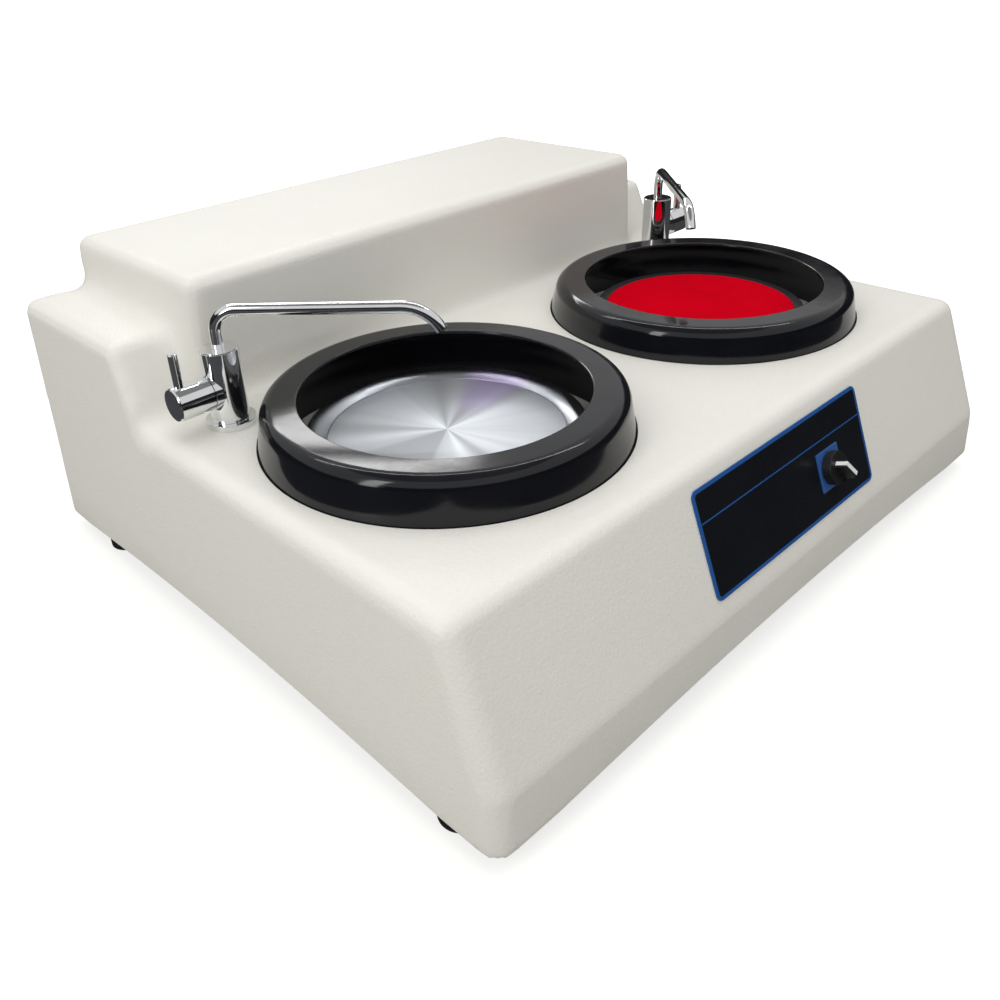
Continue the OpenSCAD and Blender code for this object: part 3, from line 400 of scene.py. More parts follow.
def spread_gloss(tree, shader, mask, at_low, at_high):
    """Roughness that runs from one value to another with a mask."""
    rough = remap_node(tree, mask, 0.0, 1.0, at_low, at_high)
    tree.links.new(rough, shader.inputs["Roughness"])


def set_base(tree, shader, colour):
    tree.links.new(colour, shader.inputs["Base Color"])


def shade(colour, amount):
    return tuple(c * amount for c in tuple(colour)[:3])


def grained_material(name, colour, rough, metal=0.0, grain=900.0, strength=0.1, depth=0.0002,
                     clouds=9.0, spread=0.12, dust=0.0):
    """A plain finish with fine grain, broad clouds of colour and gloss, and settled dust."""
    material, tree, shader, place = start_material(name)
    surface = place_group(tree, "Surface Grain", place, Grain_Scale=grain, Cloud_Scale=clouds)
    cloud = surface.outputs["Cloud"]
    base = mix_colours(tree, cloud, shade(colour, 1.0 - spread), colour)
    if dust > 0:
        layer = place_group(tree, "Settled Dust", place, Amount=dust)
        base = mix_colours(tree, layer.outputs["Dust"], base, (0.55, 0.54, 0.5))
    set_base(tree, shader, base)
    spread_gloss(tree, shader, cloud, rough + 0.08, rough)
    set_inputs(shader, Metallic=metal)
    add_bump(tree, shader, surface.outputs["Grain"], strength, depth)
    return material


# Grained finishes: colour, roughness and what differs from a plain one

GRAINED = {
    "Black Rubber": ((0.012, 0.012, 0.013), 0.6,
                     dict(grain=1500.0, strength=0.25, clouds=60.0, spread=0.3, dust=0.15)),
    "Dark Hoop": ((0.02, 0.02, 0.024), 0.35, dict(grain=500.0, clouds=30.0, spread=0.2)),
    "Blue Switch Plate": ((0.03, 0.11, 0.36), 0.4,
                          dict(grain=1600.0, strength=0.12, clouds=60.0, spread=0.15)),
    "Black Knob": ((0.012, 0.012, 0.013), 0.42,
                   dict(grain=1500.0, strength=0.2, clouds=50.0, spread=0.25)),
    "White Pointer Paint": ((0.86, 0.86, 0.85), 0.5,
                            dict(grain=1800.0, strength=0.15, clouds=90.0, spread=0.08)),
    "Black Nylon": ((0.014, 0.014, 0.015), 0.45,
                    dict(grain=1300.0, strength=0.15, clouds=60.0, spread=0.2)),
    "Zinc Plating": ((0.6, 0.61, 0.62), 0.34,
                     dict(metal=1.0, grain=700.0, strength=0.06, clouds=45.0, spread=0.2)),
    "Cast Iron": ((0.09, 0.095, 0.1), 0.55,
                  dict(metal=0.6, grain=650.0, strength=0.5, depth=0.0005, clouds=30.0, spread=0.3,
                       dust=0.2)),
    "Belt Rubber": ((0.016, 0.016, 0.016), 0.7,
                    dict(grain=1200.0, strength=0.3, clouds=40.0, spread=0.3, dust=0.25)),
    "Motor Enamel": ((0.05, 0.11, 0.17), 0.38,
                     dict(grain=260.0, strength=0.15, depth=0.0004, clouds=20.0, spread=0.18,
                          dust=0.2)),
    "Capacitor Can": ((0.7, 0.71, 0.73), 0.3, dict(metal=1.0, strength=0.05, clouds=40.0)),
    "Pulley Alloy": ((0.55, 0.56, 0.58), 0.36, dict(metal=1.0, grain=800.0, clouds=35.0, spread=0.18)),
}


def finish_named(name):
    """One of the grained finishes, made the first time it is asked for."""
    found = bpy.data.materials.get(name)
    if found:
        return found
    colour, rough, changes = GRAINED[name]
    return grained_material(name, colour, rough, **changes)


def moulded_body_material():
    """Cream gel-coat with the fine leathery skin of the moulding, darker in patches towards the bottom.
    """
    material, tree, shader, place = start_material("Moulded Cream Body")
    colour = settings().body_colour
    surface = place_group(tree, "Surface Grain", place, Grain_Scale=420.0, Cloud_Scale=5.0)
    cloud = surface.outputs["Cloud"]
    pebble = noise_node(tree, place, 150.0, 2.0, 0.5)
    base = mix_colours(tree, cloud, shade(colour, 0.965), colour)
    # Darker brownish patches in the lowest band of the walls, fading out upwards.
    rim = remap_node(tree, split_node(tree, place)["Z"], 0.016, 0.06, 0.25, 0.0)
    base = mix_colours(tree, scaled(tree, rim, cloud), base, (0.5, 0.48, 0.43))
    set_base(tree, shader, base)
    spread_gloss(tree, shader, cloud, 0.5, 0.42)
    set_inputs(shader, Specular_IOR_Level=0.4)
    height = math_node(tree, "MULTIPLY_ADD", pebble, 0.7, surface.outputs["Grain"])
    add_bump(tree, shader, height, 0.35, 0.00035)
    return material


def turned_material(name, centre, colour, rough, grooves, strength, painted_highlight_spread, anisotropy):
    """Bare turned aluminium: rings of tool marks, fans of light and a faint violet reflection painted
    into the colour as highlights, and scratches.
    """
    material, tree, shader, place = start_material(name)
    shift = tree.nodes.new("ShaderNodeMapping")
    set_inputs(shift, Location=(-centre[0], -centre[1], 0.0))
    tree.links.new(place, shift.inputs["Vector"])
    face = place_group(tree, "Turned Face", shift.outputs[0], Grooves=grooves)
    # Painted highlight: the fans lighten the colour, and the same mask steers the roughness.
    painted_highlight_fan = face.outputs["Painted Highlight Fan"]
    base = mix_colours(tree, painted_highlight_fan, shade(colour, 1.0 - painted_highlight_spread), colour)
    # Painted reflection: the violet sector put into the colour.
    base = mix_colours(tree, scaled(tree, face.outputs["Tint"], 0.6), base, (0.74, 0.62, 0.96))
    base = mix_colours(tree, scaled(tree, face.outputs["Scratch"], 0.5), base, (0.9, 0.9, 0.92))
    set_base(tree, shader, base)
    spread_gloss(tree, shader, painted_highlight_fan, rough + 0.08, rough)
    set_inputs(shader, Metallic=1.0, Anisotropic=anisotropy)
    add_bump(tree, shader, face.outputs["Groove"], strength, 0.00004)
    return material


def polished_metal_material(name, colour, rough):
    """Bright plating with faint water marks and the smallest waviness."""
    material, tree, shader, place = start_material(name)
    surface = place_group(tree, "Surface Grain", place, Grain_Scale=60.0, Cloud_Scale=55.0)
    cloud = surface.outputs["Cloud"]
    set_base(tree, shader, mix_colours(tree, cloud, shade(colour, 0.95), colour))
    spread_gloss(tree, shader, cloud, rough + 0.05, rough)
    set_inputs(shader, Metallic=1.0)
    add_bump(tree, shader, surface.outputs["Grain"], 0.03, 0.0002)
    return material


def streaked_metal_material(name, colour, rough, stretch):
    """Rolled or drawn steel with fine streaks along its length."""
    material, tree, shader, place = start_material(name)
    streak = place_group(tree, "Brushed Streaks", place, Stretch=stretch).outputs["Streak"]
    surface = place_group(tree, "Surface Grain", place, Grain_Scale=600.0, Cloud_Scale=14.0)
    cloud = surface.outputs["Cloud"]
    base = mix_colours(tree, streak, shade(colour, 0.82), colour)
    set_base(tree, shader, mix_colours(tree, scaled(tree, cloud, 0.2), base, shade(colour, 0.6)))
    spread_gloss(tree, shader, cloud, rough, rough + 0.12)
    set_inputs(shader, Metallic=1.0)
    add_bump(tree, shader, streak, 0.08, 0.0001)
    return material


def ring_plastic_material():
    """Glossy near-black moulded plastic with hairline scuffs, swirl marks and a little settled dust."""
    material, tree, shader, place = start_material("Glossy Black Ring")
    colour = settings().ring_colour
    surface = place_group(tree, "Surface Grain", place, Grain_Scale=70.0, Cloud_Scale=16.0)
    layer = place_group(tree, "Settled Dust", place, Amount=0.012)
    hair = place_group(tree, "Brushed Streaks", place, Stretch=(1.0, 0.12, 1.0), Streak_Scale=240.0)
    scuff = remap_node(tree, hair.outputs["Streak"], 0.7, 0.78)
    base = mix_colours(tree, surface.outputs["Cloud"], shade(colour, 0.8), colour)
    base = mix_colours(tree, layer.outputs["Dust"], base, (0.3, 0.3, 0.3))
    set_base(tree, shader, mix_colours(tree, scaled(tree, scuff, 0.02), base, (0.4, 0.4, 0.4)))
    gloss = remap_node(tree, surface.outputs["Cloud"], 0.0, 1.0, 0.09, 0.15)
    rough = math_node(tree, "MULTIPLY_ADD", scuff, 0.15, gloss)
    tree.links.new(rough, shader.inputs["Roughness"])
    set_inputs(shader, Specular_IOR_Level=0.42)
    add_bump(tree, shader, surface.outputs["Grain"], 0.04, 0.0004)
    return material


def cloth_material():
    """Short dense red nap with a fine woven ground and a soft sheen."""
    material, tree, shader, place = start_material("Red Polishing Cloth")
    colour = settings().cloth_colour
    surface = place_group(tree, "Surface Grain", place, Grain_Scale=2400.0, Cloud_Scale=22.0)
    grain = surface.outputs["Grain"]
    base = mix_colours(tree, surface.outputs["Cloud"], shade(colour, 0.9), colour)
    set_base(tree, shader, mix_colours(tree, scaled(tree, grain, 0.18), base, shade(colour, 0.6)))
    set_inputs(shader, Roughness=0.85, Sheen_Weight=0.06, Sheen_Roughness=0.4,
               Sheen_Tint=(1.0, 0.1, 0.15, 1.0), Specular_IOR_Level=0.0)
    add_bump(tree, shader, grain, 0.5, 0.0003)
    return material


def panel_film_material():
    """Near-black printed film with a blue border and one thin blue rule."""
    material, tree, shader, place = start_material("Printed Panel Film")
    choice = settings()
    origin, turn = panel_plane()
    plane = tree.nodes.new("ShaderNodeMapping")
    plane.vector_type = "TEXTURE"
    set_inputs(plane, Location=origin, Rotation=(turn, 0.0, 0.0))
    tree.links.new(place, plane.inputs["Vector"])
    film_print = place_group(tree, "Film Print", plane.outputs[0],
                             Half_Width=PANEL_W / 2, Half_Height=PANEL_H / 2)
    surface = place_group(tree, "Surface Grain", place, Grain_Scale=1800.0, Cloud_Scale=18.0)
    cloud = surface.outputs["Cloud"]
    base = mix_colours(tree, cloud, shade(choice.film_colour, 0.85), choice.film_colour)
    ink = math_node(tree, "MAXIMUM", film_print.outputs["Border Mask"], film_print.outputs["Rule Mask"])
    set_base(tree, shader, mix_colours(tree, ink, base, choice.print_colour))
    spread_gloss(tree, shader, cloud, 0.26, 0.32)
    set_inputs(shader, Specular_IOR_Level=0.25)
    add_bump(tree, shader, surface.outputs["Grain"], 0.12, 0.0001)
    return material


# Width and height of the control panel on the sloping face

PANEL_W = 0.238
PANEL_H = 0.086


def panel_plane():
    """Middle of the panel's face and the turn of its plane about the left-right axis."""
    low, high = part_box("control_panel")
    rise = high.z - low.z
    run = high.y - low.y
    turn = math.atan2(rise, run)
    return ((low + high) / 2)[:], turn


# Settings that a user would change

def colour_setting(name, description, default):
    return bpy.props.FloatVectorProperty(
        name=name, description=description, subtype="COLOR", size=3, min=0.0, max=1.0, default=default)


def power_setting(name, description, default):
    return bpy.props.FloatProperty(
        name=name, description=description, min=0.0, max=400.0, subtype="POWER", unit="POWER",
        default=default)


def length_setting(name, description, low, high, default):
    return bpy.props.FloatProperty(
        name=name, description=description, min=low, max=high, subtype="DISTANCE", unit="LENGTH",
        default=default)


class PolisherSettings(bpy.types.PropertyGroup):
    body_colour: colour_setting("Body Colour", "Colour of the moulded body", (0.81, 0.795, 0.735))
    ring_colour: colour_setting("Ring Colour", "Colour of the splash rings", (0.006, 0.0065, 0.009))
    cloth_colour: colour_setting("Cloth Colour", "Colour of the polishing cloth", (0.66, 0.0005, 0.011))
    film_colour: colour_setting("Panel Colour", "Ground of the control panel", (0.007, 0.008, 0.011))
    print_colour: colour_setting("Print Colour", "The panel's border and rule", (0.015, 0.09, 0.32))
    edge_width: length_setting("Edge Rounding", "Rounding on small machined edges", 0.0, 0.002, 0.0004)


class StageSettings(bpy.types.PropertyGroup):
    floor_size: length_setting("Floor Size", "Side of the square floor", 2.0, 40.0, 12.0)
    sky_strength: bpy.props.FloatProperty(
        name="Sky Strength", description="Strength of the soft light from all round", default=0.66,
        min=0.0, max=4.0)
    top_power: power_setting("Top Lamp Power", "Power of the wide lamp above the machine", 21.0)
    side_power: power_setting("Side Lamp Power", "Power of each narrow lamp beside the machine", 10.5)


# The camera, in degrees, metres, and millimetres of lens and sensor

CAMERA_AZIMUTH = -42.4238
CAMERA_ELEVATION = 30.7512
CAMERA_ROLL = -2.8986
CAMERA_PLACE = (-0.5994, -0.5705, 0.5026)
CAMERA_LENS = 33.5426
CAMERA_SHIFT_X = 0.03744
CAMERA_SHIFT_Y = -0.01792
CAMERA_SENSOR = 36.0
CAMERA_CLIP = 0.02

# Place, aim, width and height of each lamp, in metres

TOP_LAMP = ((0.1, -0.1, 2.2), (0.0, -0.1, 0.1), 2.6, 2.0)
SIDE_LAMPS = {
    "Strip Lamp": ((0.55, 0.6, 2.1), (0.0, 0.0, 0.15), 3.0, 0.07),
    "Left Lamp": ((-2.0, -0.2, 1.1), (0.0, 0.0, 0.15), 0.35, 1.6),
    "Rear Lamp": ((0.9, 2.0, 1.5), (0.0, 0.0, 0.15), 1.4, 0.3),
}

# Radius, lowest and highest level of each dark card, in metres

DARK_CARDS = {"dark_wall": (3.2, 0.0, 1.25), "dim_ceiling": (1.5, 2.7, 2.7)}

# Strength of the sky as shine and plating show it, and behind the floor

GLOSSY_SKY = 0.7
CAMERA_SKY = 1.05


# Operators, one for each group of pieces

class AddCamera(bpy.types.Operator):
    """Set the camera where the machine is seen from its front left corner"""
    bl_idname = "polisher.add_camera"
    bl_label = "Camera"

    def execute(self, context):
        azimuth = math.radians(CAMERA_AZIMUTH)
        elevation = math.radians(CAMERA_ELEVATION)
        roll = math.radians(CAMERA_ROLL)
        back = Vector((math.sin(azimuth) * math.cos(elevation),
                       -math.cos(azimuth) * math.cos(elevation), math.sin(elevation)))
        right = (-back).cross(Vector((0, 0, 1))).normalized()
        up = right.cross(-back).normalized()
        across = right * math.cos(roll) + up * math.sin(roll)
        upward = up * math.cos(roll) - right * math.sin(roll)
        data = bpy.data.cameras.new("Camera")
        data.sensor_width = CAMERA_SENSOR
        data.sensor_fit = "HORIZONTAL"
        data.lens = CAMERA_LENS
        data.shift_x = CAMERA_SHIFT_X
        data.shift_y = CAMERA_SHIFT_Y
        data.clip_start = CAMERA_CLIP
        camera = link_object("Camera", data)
        turn = Matrix((across, upward, back)).transposed().to_4x4()
        camera.matrix_world = Matrix.Translation(CAMERA_PLACE) @ turn
        context.scene.camera = camera
        return {"FINISHED"}


class AddStage(bpy.types.Operator):
    """Lay the pale floor and set the soft studio light"""
    bl_idname = "polisher.add_stage"
    bl_label = "Floor and Light"

    def execute(self, context):
        choice = context.scene.polisher_stage
        self.lay_floor(choice)
        self.light_world(context, choice)
        top = self.hang_lamp("Top Lamp", *TOP_LAMP, choice.top_power)
        top.visible_glossy = False
        self.hang_dark_cards()
        for name, layout in SIDE_LAMPS.items():
            lamp = self.hang_lamp(name, *layout, choice.side_power)
            lamp.visible_diffuse = name == "Left Lamp"
        context.scene.view_settings.view_transform = "Standard"
        return {"FINISHED"}

    def lay_floor(self, choice):
        """A floor that the camera sees as white away from the machine, and shine as dark."""
        bm = bmesh.new()
        bmesh.ops.create_grid(bm, x_segments=1, y_segments=1, size=choice.floor_size / 2)
        floor = mesh_object(bm, "studio_floor")
        material, tree, shader, place = start_material("Pale Floor")
        set_inputs(shader, Roughness=0.9, Specular_IOR_Level=0.1, Emission_Color=(1.0, 1.0, 1.0, 1.0))
        path = tree.nodes.new("ShaderNodeLightPath")
        away = tree.nodes.new("ShaderNodeVectorMath")
        away.operation = "LENGTH"
        tree.links.new(place, away.inputs[0])
        white = remap_node(tree, away.outputs["Value"], 0.5, 1.3, 0.7, 1.2)
        glow = scaled(tree, path.outputs["Is Camera Ray"], white)
        tree.links.new(glow, shader.inputs["Emission Strength"])
        pale, dark = (0.45, 0.445, 0.41), (0.05, 0.05, 0.055)
        set_base(tree, shader, mix_colours(tree, path.outputs["Is Glossy Ray"], pale, dark))
        floor.data.materials.append(material)

    def hang_dark_cards(self):
        """A dark wall all round and a dim ceiling, which only shine and plating show."""
        material, _, shader, _ = start_material("Dark Card")
        set_inputs(shader, Base_Color=(0.03, 0.03, 0.034, 1.0), Roughness=1.0, Specular_IOR_Level=0.0)
        dim = material.copy()
        dim.name = "Dim Card"
        set_inputs(dim.node_tree.nodes["Principled BSDF"], Emission_Color=(1.0, 1.0, 1.0, 1.0),
                   Emission_Strength=0.2)
        for name, (radius, low, high) in DARK_CARDS.items():
            bm = bmesh.new()
            bmesh.ops.create_circle(bm, cap_ends=low == high, radius=radius, segments=96,
                                    matrix=Matrix.Translation((0, 0, low)))
            if high > low:
                grown = bmesh.ops.extrude_edge_only(bm, edges=bm.edges[:])
                raised = [v for v in grown["geom"] if isinstance(v, bmesh.types.BMVert)]
                bmesh.ops.translate(bm, verts=raised, vec=(0, 0, high - low))
            card = mesh_object(bm, name)
            card.data.materials.append(material if high > low else dim)
            card.visible_camera = False
            card.visible_diffuse = False
            card.visible_shadow = False
            card.visible_transmission = False

    def light_world(self, context, choice):
        world = bpy.data.worlds.new("Studio World")
        world.use_nodes = True
        context.scene.world = world
        tree = world.node_tree
        ground = tree.nodes["Background"]
        path = tree.nodes.new("ShaderNodeLightPath")
        sky = choice.sky_strength
        light = math_node(tree, "MULTIPLY_ADD", path.outputs["Is Glossy Ray"], GLOSSY_SKY - sky, sky)
        light = math_node(tree, "MULTIPLY_ADD", path.outputs["Is Camera Ray"], CAMERA_SKY - sky, light)
        set_inputs(ground, Color=(1.0, 1.0, 1.0, 1.0))
        tree.links.new(light, ground.inputs["Strength"])

    def hang_lamp(self, name, place, aim, width, height, power):
        data = bpy.data.lights.new(name, "AREA")
        data.shape = "RECTANGLE"
        data.size = width
        data.size_y = height
        data.energy = power
        lamp = link_object(name, data)
        turn = (Vector(aim) - Vector(place)).to_track_quat("-Z", "Y").to_matrix().to_4x4()
        lamp.matrix_world = Matrix.Translation(place) @ turn
        return lamp


# The moulding, in metres from the deck's plane and the wheel axes

DECK_Y = -0.0869
DECK_Z = 0.171
DECK_HALF = 0.3428
RIM_HALF = 0.3495
DECK_FRONT = 0.1774
SLOPE_RUN = 0.0438
SLOPE_DROP = 0.1093
RIM_FRONT = 0.2241
BODY_BACK = 0.3737
RIM_BACK = 0.3799
SKIRT = 0.1545
REAR_DRAFT = 0.0062
SIDE_DRAFT = 0.0067
EDGE = 0.015
CORNER = 0.017
BOX_EDGE = 0.012
BOX_HALF = 0.2796
BOX_SPREAD = 0.0114
BOX_FRONT = 0.17
BOX_HEIGHT = 0.1071
SHOULDER_HEIGHT = 0.0633
SHOULDER_FRONT = 0.202
SHOULDER_RUN = 0.027
SINK = 0.027
WALL = 0.005
ARCH = 0.0122
WELL_RADIUS = 0.1463
WELL_DEPTH = 0.024
WELL_WALL = 0.004
NOSE_RADIUS = 0.0275
FLOOR_LOW = -0.029
TUB_HEIGHT = 0.0265
WHEEL_X = 0.171

# Holes for the taps and hoses: radius, and the place on the deck or the rear wall

TAP_HOLE = 0.0103
TAP_X = 0.2812
TAP_Y = 0.134
DRAIN_HOLE = 0.0113
DRAIN_X = 0.23
DRAIN_Y = 0.1022
DRAIN_Z = -0.075
FITTING_X = 0.125
INLET_Z = -0.042
GLAND_Z = -0.06
SWITCH_X = 0.0635
SWITCH_DOWN = 0.0667
REAR_START = 0.36
CUT_LENGTH = 0.03

# How the forms overlap and how finely they are cut

STEP_BACK = 0.0006
DISC_DEPTH = 0.001
VOXEL = 0.0035
HOLLOW_PULL = 0.00012
HOLLOW_GROWTH = 1.9
HOLLOW_STEP = 0.7
HOLLOW_REACH = 5
HOLLOW_ROUNDS = 36
ROUND_SEGMENTS = 192
ARCH_SEGMENTS = 1440
WELL_ROUNDING = 0.0012


def on_deck(x, y, z):
    """A point given from the deck's plane and the wheel axes, in the frame of the CAD model."""
    return Vector((x, y + DECK_Y, z + DECK_Z))


def back_at(z):
    """How far back the rear wall stands at a level."""
    return BODY_BACK + REAR_DRAFT * (BOX_HEIGHT - z) / (BOX_HEIGHT + SKIRT)


def half_at(z):
    """Half the body's width at a level below the deck."""
    return DECK_HALF - SIDE_DRAFT * z / SKIRT


def hull_form(balls, discs=()):
    """The convex form round balls and thin upright discs, as a bmesh."""
    bm = bmesh.new()
    for place, radius in balls:
        bmesh.ops.create_uvsphere(bm, u_segments=40, v_segments=20, radius=radius,
                                  matrix=Matrix.Translation(place))
    for place, radius in discs:
        bmesh.ops.create_cone(bm, cap_ends=True, segments=40, radius1=radius, radius2=radius,
                              depth=DISC_DEPTH, matrix=Matrix.Translation(place))
    bmesh.ops.delete(bm, geom=bm.edges[:] + bm.faces[:], context="EDGES_FACES")
    bmesh.ops.remove_doubles(bm, verts=bm.verts[:], dist=MERGE)
    bmesh.ops.convex_hull(bm, input=bm.verts[:], use_existing_faces=False)
    inner = [v for v in bm.verts if not v.link_faces]
    bmesh.ops.delete(bm, geom=inner, context="VERTS")
    bmesh.ops.recalc_face_normals(bm, faces=bm.faces[:])
    return bm


def lower_form(inset):
    """The body below the deck, or the room inside it when set in by the wall."""
    balls = []
    discs = []
    lean = math.atan2(SLOPE_RUN, SLOPE_DROP)
    front = EDGE * math.tan((math.pi / 2 - lean) / 2) - DECK_FRONT
    low = -SLOPE_DROP - CORNER * math.tan(lean / 2)
    rim = DISC_DEPTH / 2 - SKIRT - (DISC_DEPTH if inset else 0.0)
    for side in (-1, 1):
        for y in (front, back_at(0) - EDGE):
            balls.append((on_deck(side * (DECK_HALF - EDGE), y, -EDGE), EDGE - inset))
        x = side * (half_at(-SLOPE_DROP) - CORNER)
        balls.append((on_deck(x, CORNER - DECK_FRONT - SLOPE_RUN, low), CORNER - inset))
        for y in (CORNER - RIM_FRONT, RIM_BACK - CORNER):
            discs.append((on_deck(side * (RIM_HALF - CORNER), y, rim), CORNER - inset))
    return hull_form(balls, discs)


def box_form(inset):
    """The rear box, sunk a little into the body."""
    balls = []
    top = BOX_HEIGHT - BOX_EDGE
    for side in (-1, 1):
        for y in (BOX_FRONT + BOX_EDGE, BODY_BACK - BOX_EDGE):
            balls.append((on_deck(side * (BOX_HALF - BOX_EDGE), y, top), BOX_EDGE - inset))
        for y in (BOX_FRONT + BOX_EDGE, back_at(-SINK) - BOX_EDGE - STEP_BACK):
            x = side * (BOX_HALF + BOX_SPREAD - BOX_EDGE)
            balls.append((on_deck(x, y, -SINK), BOX_EDGE - inset))
    return hull_form(balls)


def shoulder_form(inset):
    """The two low shoulders as one bar through the rear box, sunk a little into the body."""
    balls = []
    lean = math.atan2(SHOULDER_RUN, SHOULDER_HEIGHT)
    foot = SHOULDER_FRONT - SHOULDER_RUN * (SHOULDER_HEIGHT + SINK) / SHOULDER_HEIGHT
    top = SHOULDER_HEIGHT - BOX_EDGE
    for side in (-1, 1):
        for y in (SHOULDER_FRONT + BOX_EDGE * math.tan((math.pi / 2 - lean) / 2),
                  back_at(SHOULDER_HEIGHT) - BOX_EDGE - STEP_BACK):
            x = side * (half_at(SHOULDER_HEIGHT) - BOX_EDGE)
            balls.append((on_deck(x, y, top), BOX_EDGE - inset))
        for y in (foot + BOX_EDGE / math.cos(lean), back_at(-SINK) - BOX_EDGE - 2 * STEP_BACK):
            x = side * (half_at(-SINK) - STEP_BACK - BOX_EDGE)
            balls.append((on_deck(x, y, -SINK), BOX_EDGE - inset))
    return hull_form(balls)


def rod_form(radius, place, direction, length, segments=96):
    """A rod that starts at a place and runs along a direction."""
    bm = bmesh.new()
    turn = Vector((0, 0, 1)).rotation_difference(Vector(direction)).to_matrix().to_4x4()
    middle = Vector(place) + Vector(direction).normalized() * length / 2
    bmesh.ops.create_cone(bm, cap_ends=True, segments=segments, radius1=radius, radius2=radius,
                          depth=length, matrix=Matrix.Translation(middle) @ turn)
    return bm


def drop_object(made):
    mesh = made.data
    bpy.data.objects.remove(made)
    bpy.data.meshes.remove(mesh)


def settle_modifiers(made):
    """Gives an object the mesh that its modifiers make."""
    depsgraph = bpy.context.evaluated_depsgraph_get()
    shaped = bpy.data.meshes.new_from_object(made.evaluated_get(depsgraph))
    old = made.data
    made.modifiers.clear()
    made.data = shaped
    bpy.data.meshes.remove(old)


def combine(made, forms, operation):
    """Joins forms to an object, or cuts them from it, one after another."""
    for form in forms:
        tool = mesh_object(form, "tool")
        step = made.modifiers.new("step", "BOOLEAN")
        step.solver = "MANIFOLD"
        step.operation = operation
        step.object = tool
        settle_modifiers(made)
        drop_object(tool)


def soften_hollows(mesh, reach, rounds):
    """Rounds the hollow edges of an even mesh and leaves its flats and outer edges as they are."""
    count = len(mesh.vertices)
    places = np.empty(count * 3)
    mesh.vertices.foreach_get("co", places)
    places = places.reshape(-1, 3)
    normals = np.empty(count * 3)
    mesh.vertices.foreach_get("normal", normals)
    normals = normals.reshape(-1, 3)
    edges = np.empty(len(mesh.edges) * 2, dtype=np.int64)
    mesh.edges.foreach_get("vertices", edges)
    start, end = edges.reshape(-1, 2).T
    degree = np.bincount(start, minlength=count) + np.bincount(end, minlength=count)

    def mean_of_neighbours(values):
        total = np.bincount(start, values[end], count) + np.bincount(end, values[start], count)
        return total / degree

    def mean_place(values):
        return np.stack([mean_of_neighbours(values[:, i]) for i in range(3)], axis=1)

    pull = ((mean_place(places) - places) * normals).sum(axis=1)
    hollow = (pull > HOLLOW_PULL).astype(float)
    for _ in range(reach):
        hollow = np.maximum(hollow, mean_of_neighbours(hollow) * HOLLOW_GROWTH)
        hollow = np.minimum(hollow, 1.0)
    for _ in range(3):
        hollow = mean_of_neighbours(hollow)
    for _ in range(rounds):
        places = places + hollow[:, None] * HOLLOW_STEP * (mean_place(places) - places)
    mesh.vertices.foreach_set("co", places.ravel())
    mesh.update()


def moulded_body():
    """The one-piece moulding: outer forms run together, hollow edges rounded, rooms and wells cut."""
    body = mesh_object(lower_form(0.0), "moulded_body")
    combine(body, [box_form(0.0), shoulder_form(0.0)], "UNION")
    even = body.modifiers.new("even", "REMESH")
    even.mode = "VOXEL"
    even.voxel_size = VOXEL
    settle_modifiers(body)
    soften_hollows(body.data, HOLLOW_REACH, HOLLOW_ROUNDS)
    combine(body, [lower_form(WALL), box_form(WALL), shoulder_form(WALL)], "DIFFERENCE")

    def wheel_rods(radius, low, length, segments):
        return [rod_form(radius, on_deck(side * WHEEL_X, 0, low), (0, 0, 1), length, segments)
                for side in (-1, 1)]

    combine(body, wheel_rods(WELL_RADIUS + WELL_WALL, FLOOR_LOW, TUB_HEIGHT, ROUND_SEGMENTS), "UNION")
    wells = wheel_rods(WELL_RADIUS, -WELL_DEPTH, CUT_LENGTH, ROUND_SEGMENTS)
    noses = wheel_rods(NOSE_RADIUS, -0.04, CUT_LENGTH, ROUND_SEGMENTS // 2)
    combine(body, wells + noses + body_holes() + rim_arches(), "DIFFERENCE")
    bm = bmesh.new()
    bm.from_mesh(body.data)
    drop_object(body)
    bmesh.ops.remove_doubles(bm, verts=bm.verts[:], dist=MERGE)
    bmesh.ops.dissolve_degenerate(bm, dist=MERGE, edges=bm.edges[:])
    bmesh.ops.dissolve_limit(bm, angle_limit=math.radians(0.15), verts=bm.verts[:], edges=bm.edges[:])

    def on_well_rim(edge):
        middle = (edge.verts[0].co + edge.verts[1].co) / 2
        across = Vector((abs(middle.x) - WHEEL_X, middle.y - DECK_Y))
        return abs(middle.z - DECK_Z) < 0.0002 and abs(across.length - WELL_RADIUS) < 0.001

    round_edges(bm, WELL_ROUNDING, 3, 40.0, on_well_rim)
    return bm


def body_holes():
    """Holes for the taps, drains, inlet, gland and switch."""
    holes = []
    lean = math.atan2(SLOPE_RUN, SLOPE_DROP)
    out = Vector((0, -math.cos(lean), math.sin(lean)))
    down = Vector((0, -math.sin(lean), -math.cos(lean)))
    for side in (-1, 1):
        tap = on_deck(side * TAP_X, TAP_Y, -0.01)
        floor = on_deck(side * DRAIN_X, DRAIN_Y, -0.04)
        rear = on_deck(side * DRAIN_X, REAR_START, DRAIN_Z)
        holes.append(rod_form(TAP_HOLE, tap, (0, 0, 1), 0.02))
        holes.append(rod_form(DRAIN_HOLE, floor, (0, 0, 1), CUT_LENGTH))
        holes.append(rod_form(DRAIN_HOLE, rear, (0, 1, 0), CUT_LENGTH))
    for x, z in ((FITTING_X, INLET_Z), (-FITTING_X, GLAND_Z)):
        holes.append(rod_form(TAP_HOLE, on_deck(x, REAR_START, z), (0, 1, 0), CUT_LENGTH))
    switch = on_deck(SWITCH_X, -DECK_FRONT, 0) + down * SWITCH_DOWN - out * 0.012
    holes.append(rod_form(DRAIN_HOLE, switch, out, 0.02))
    return holes


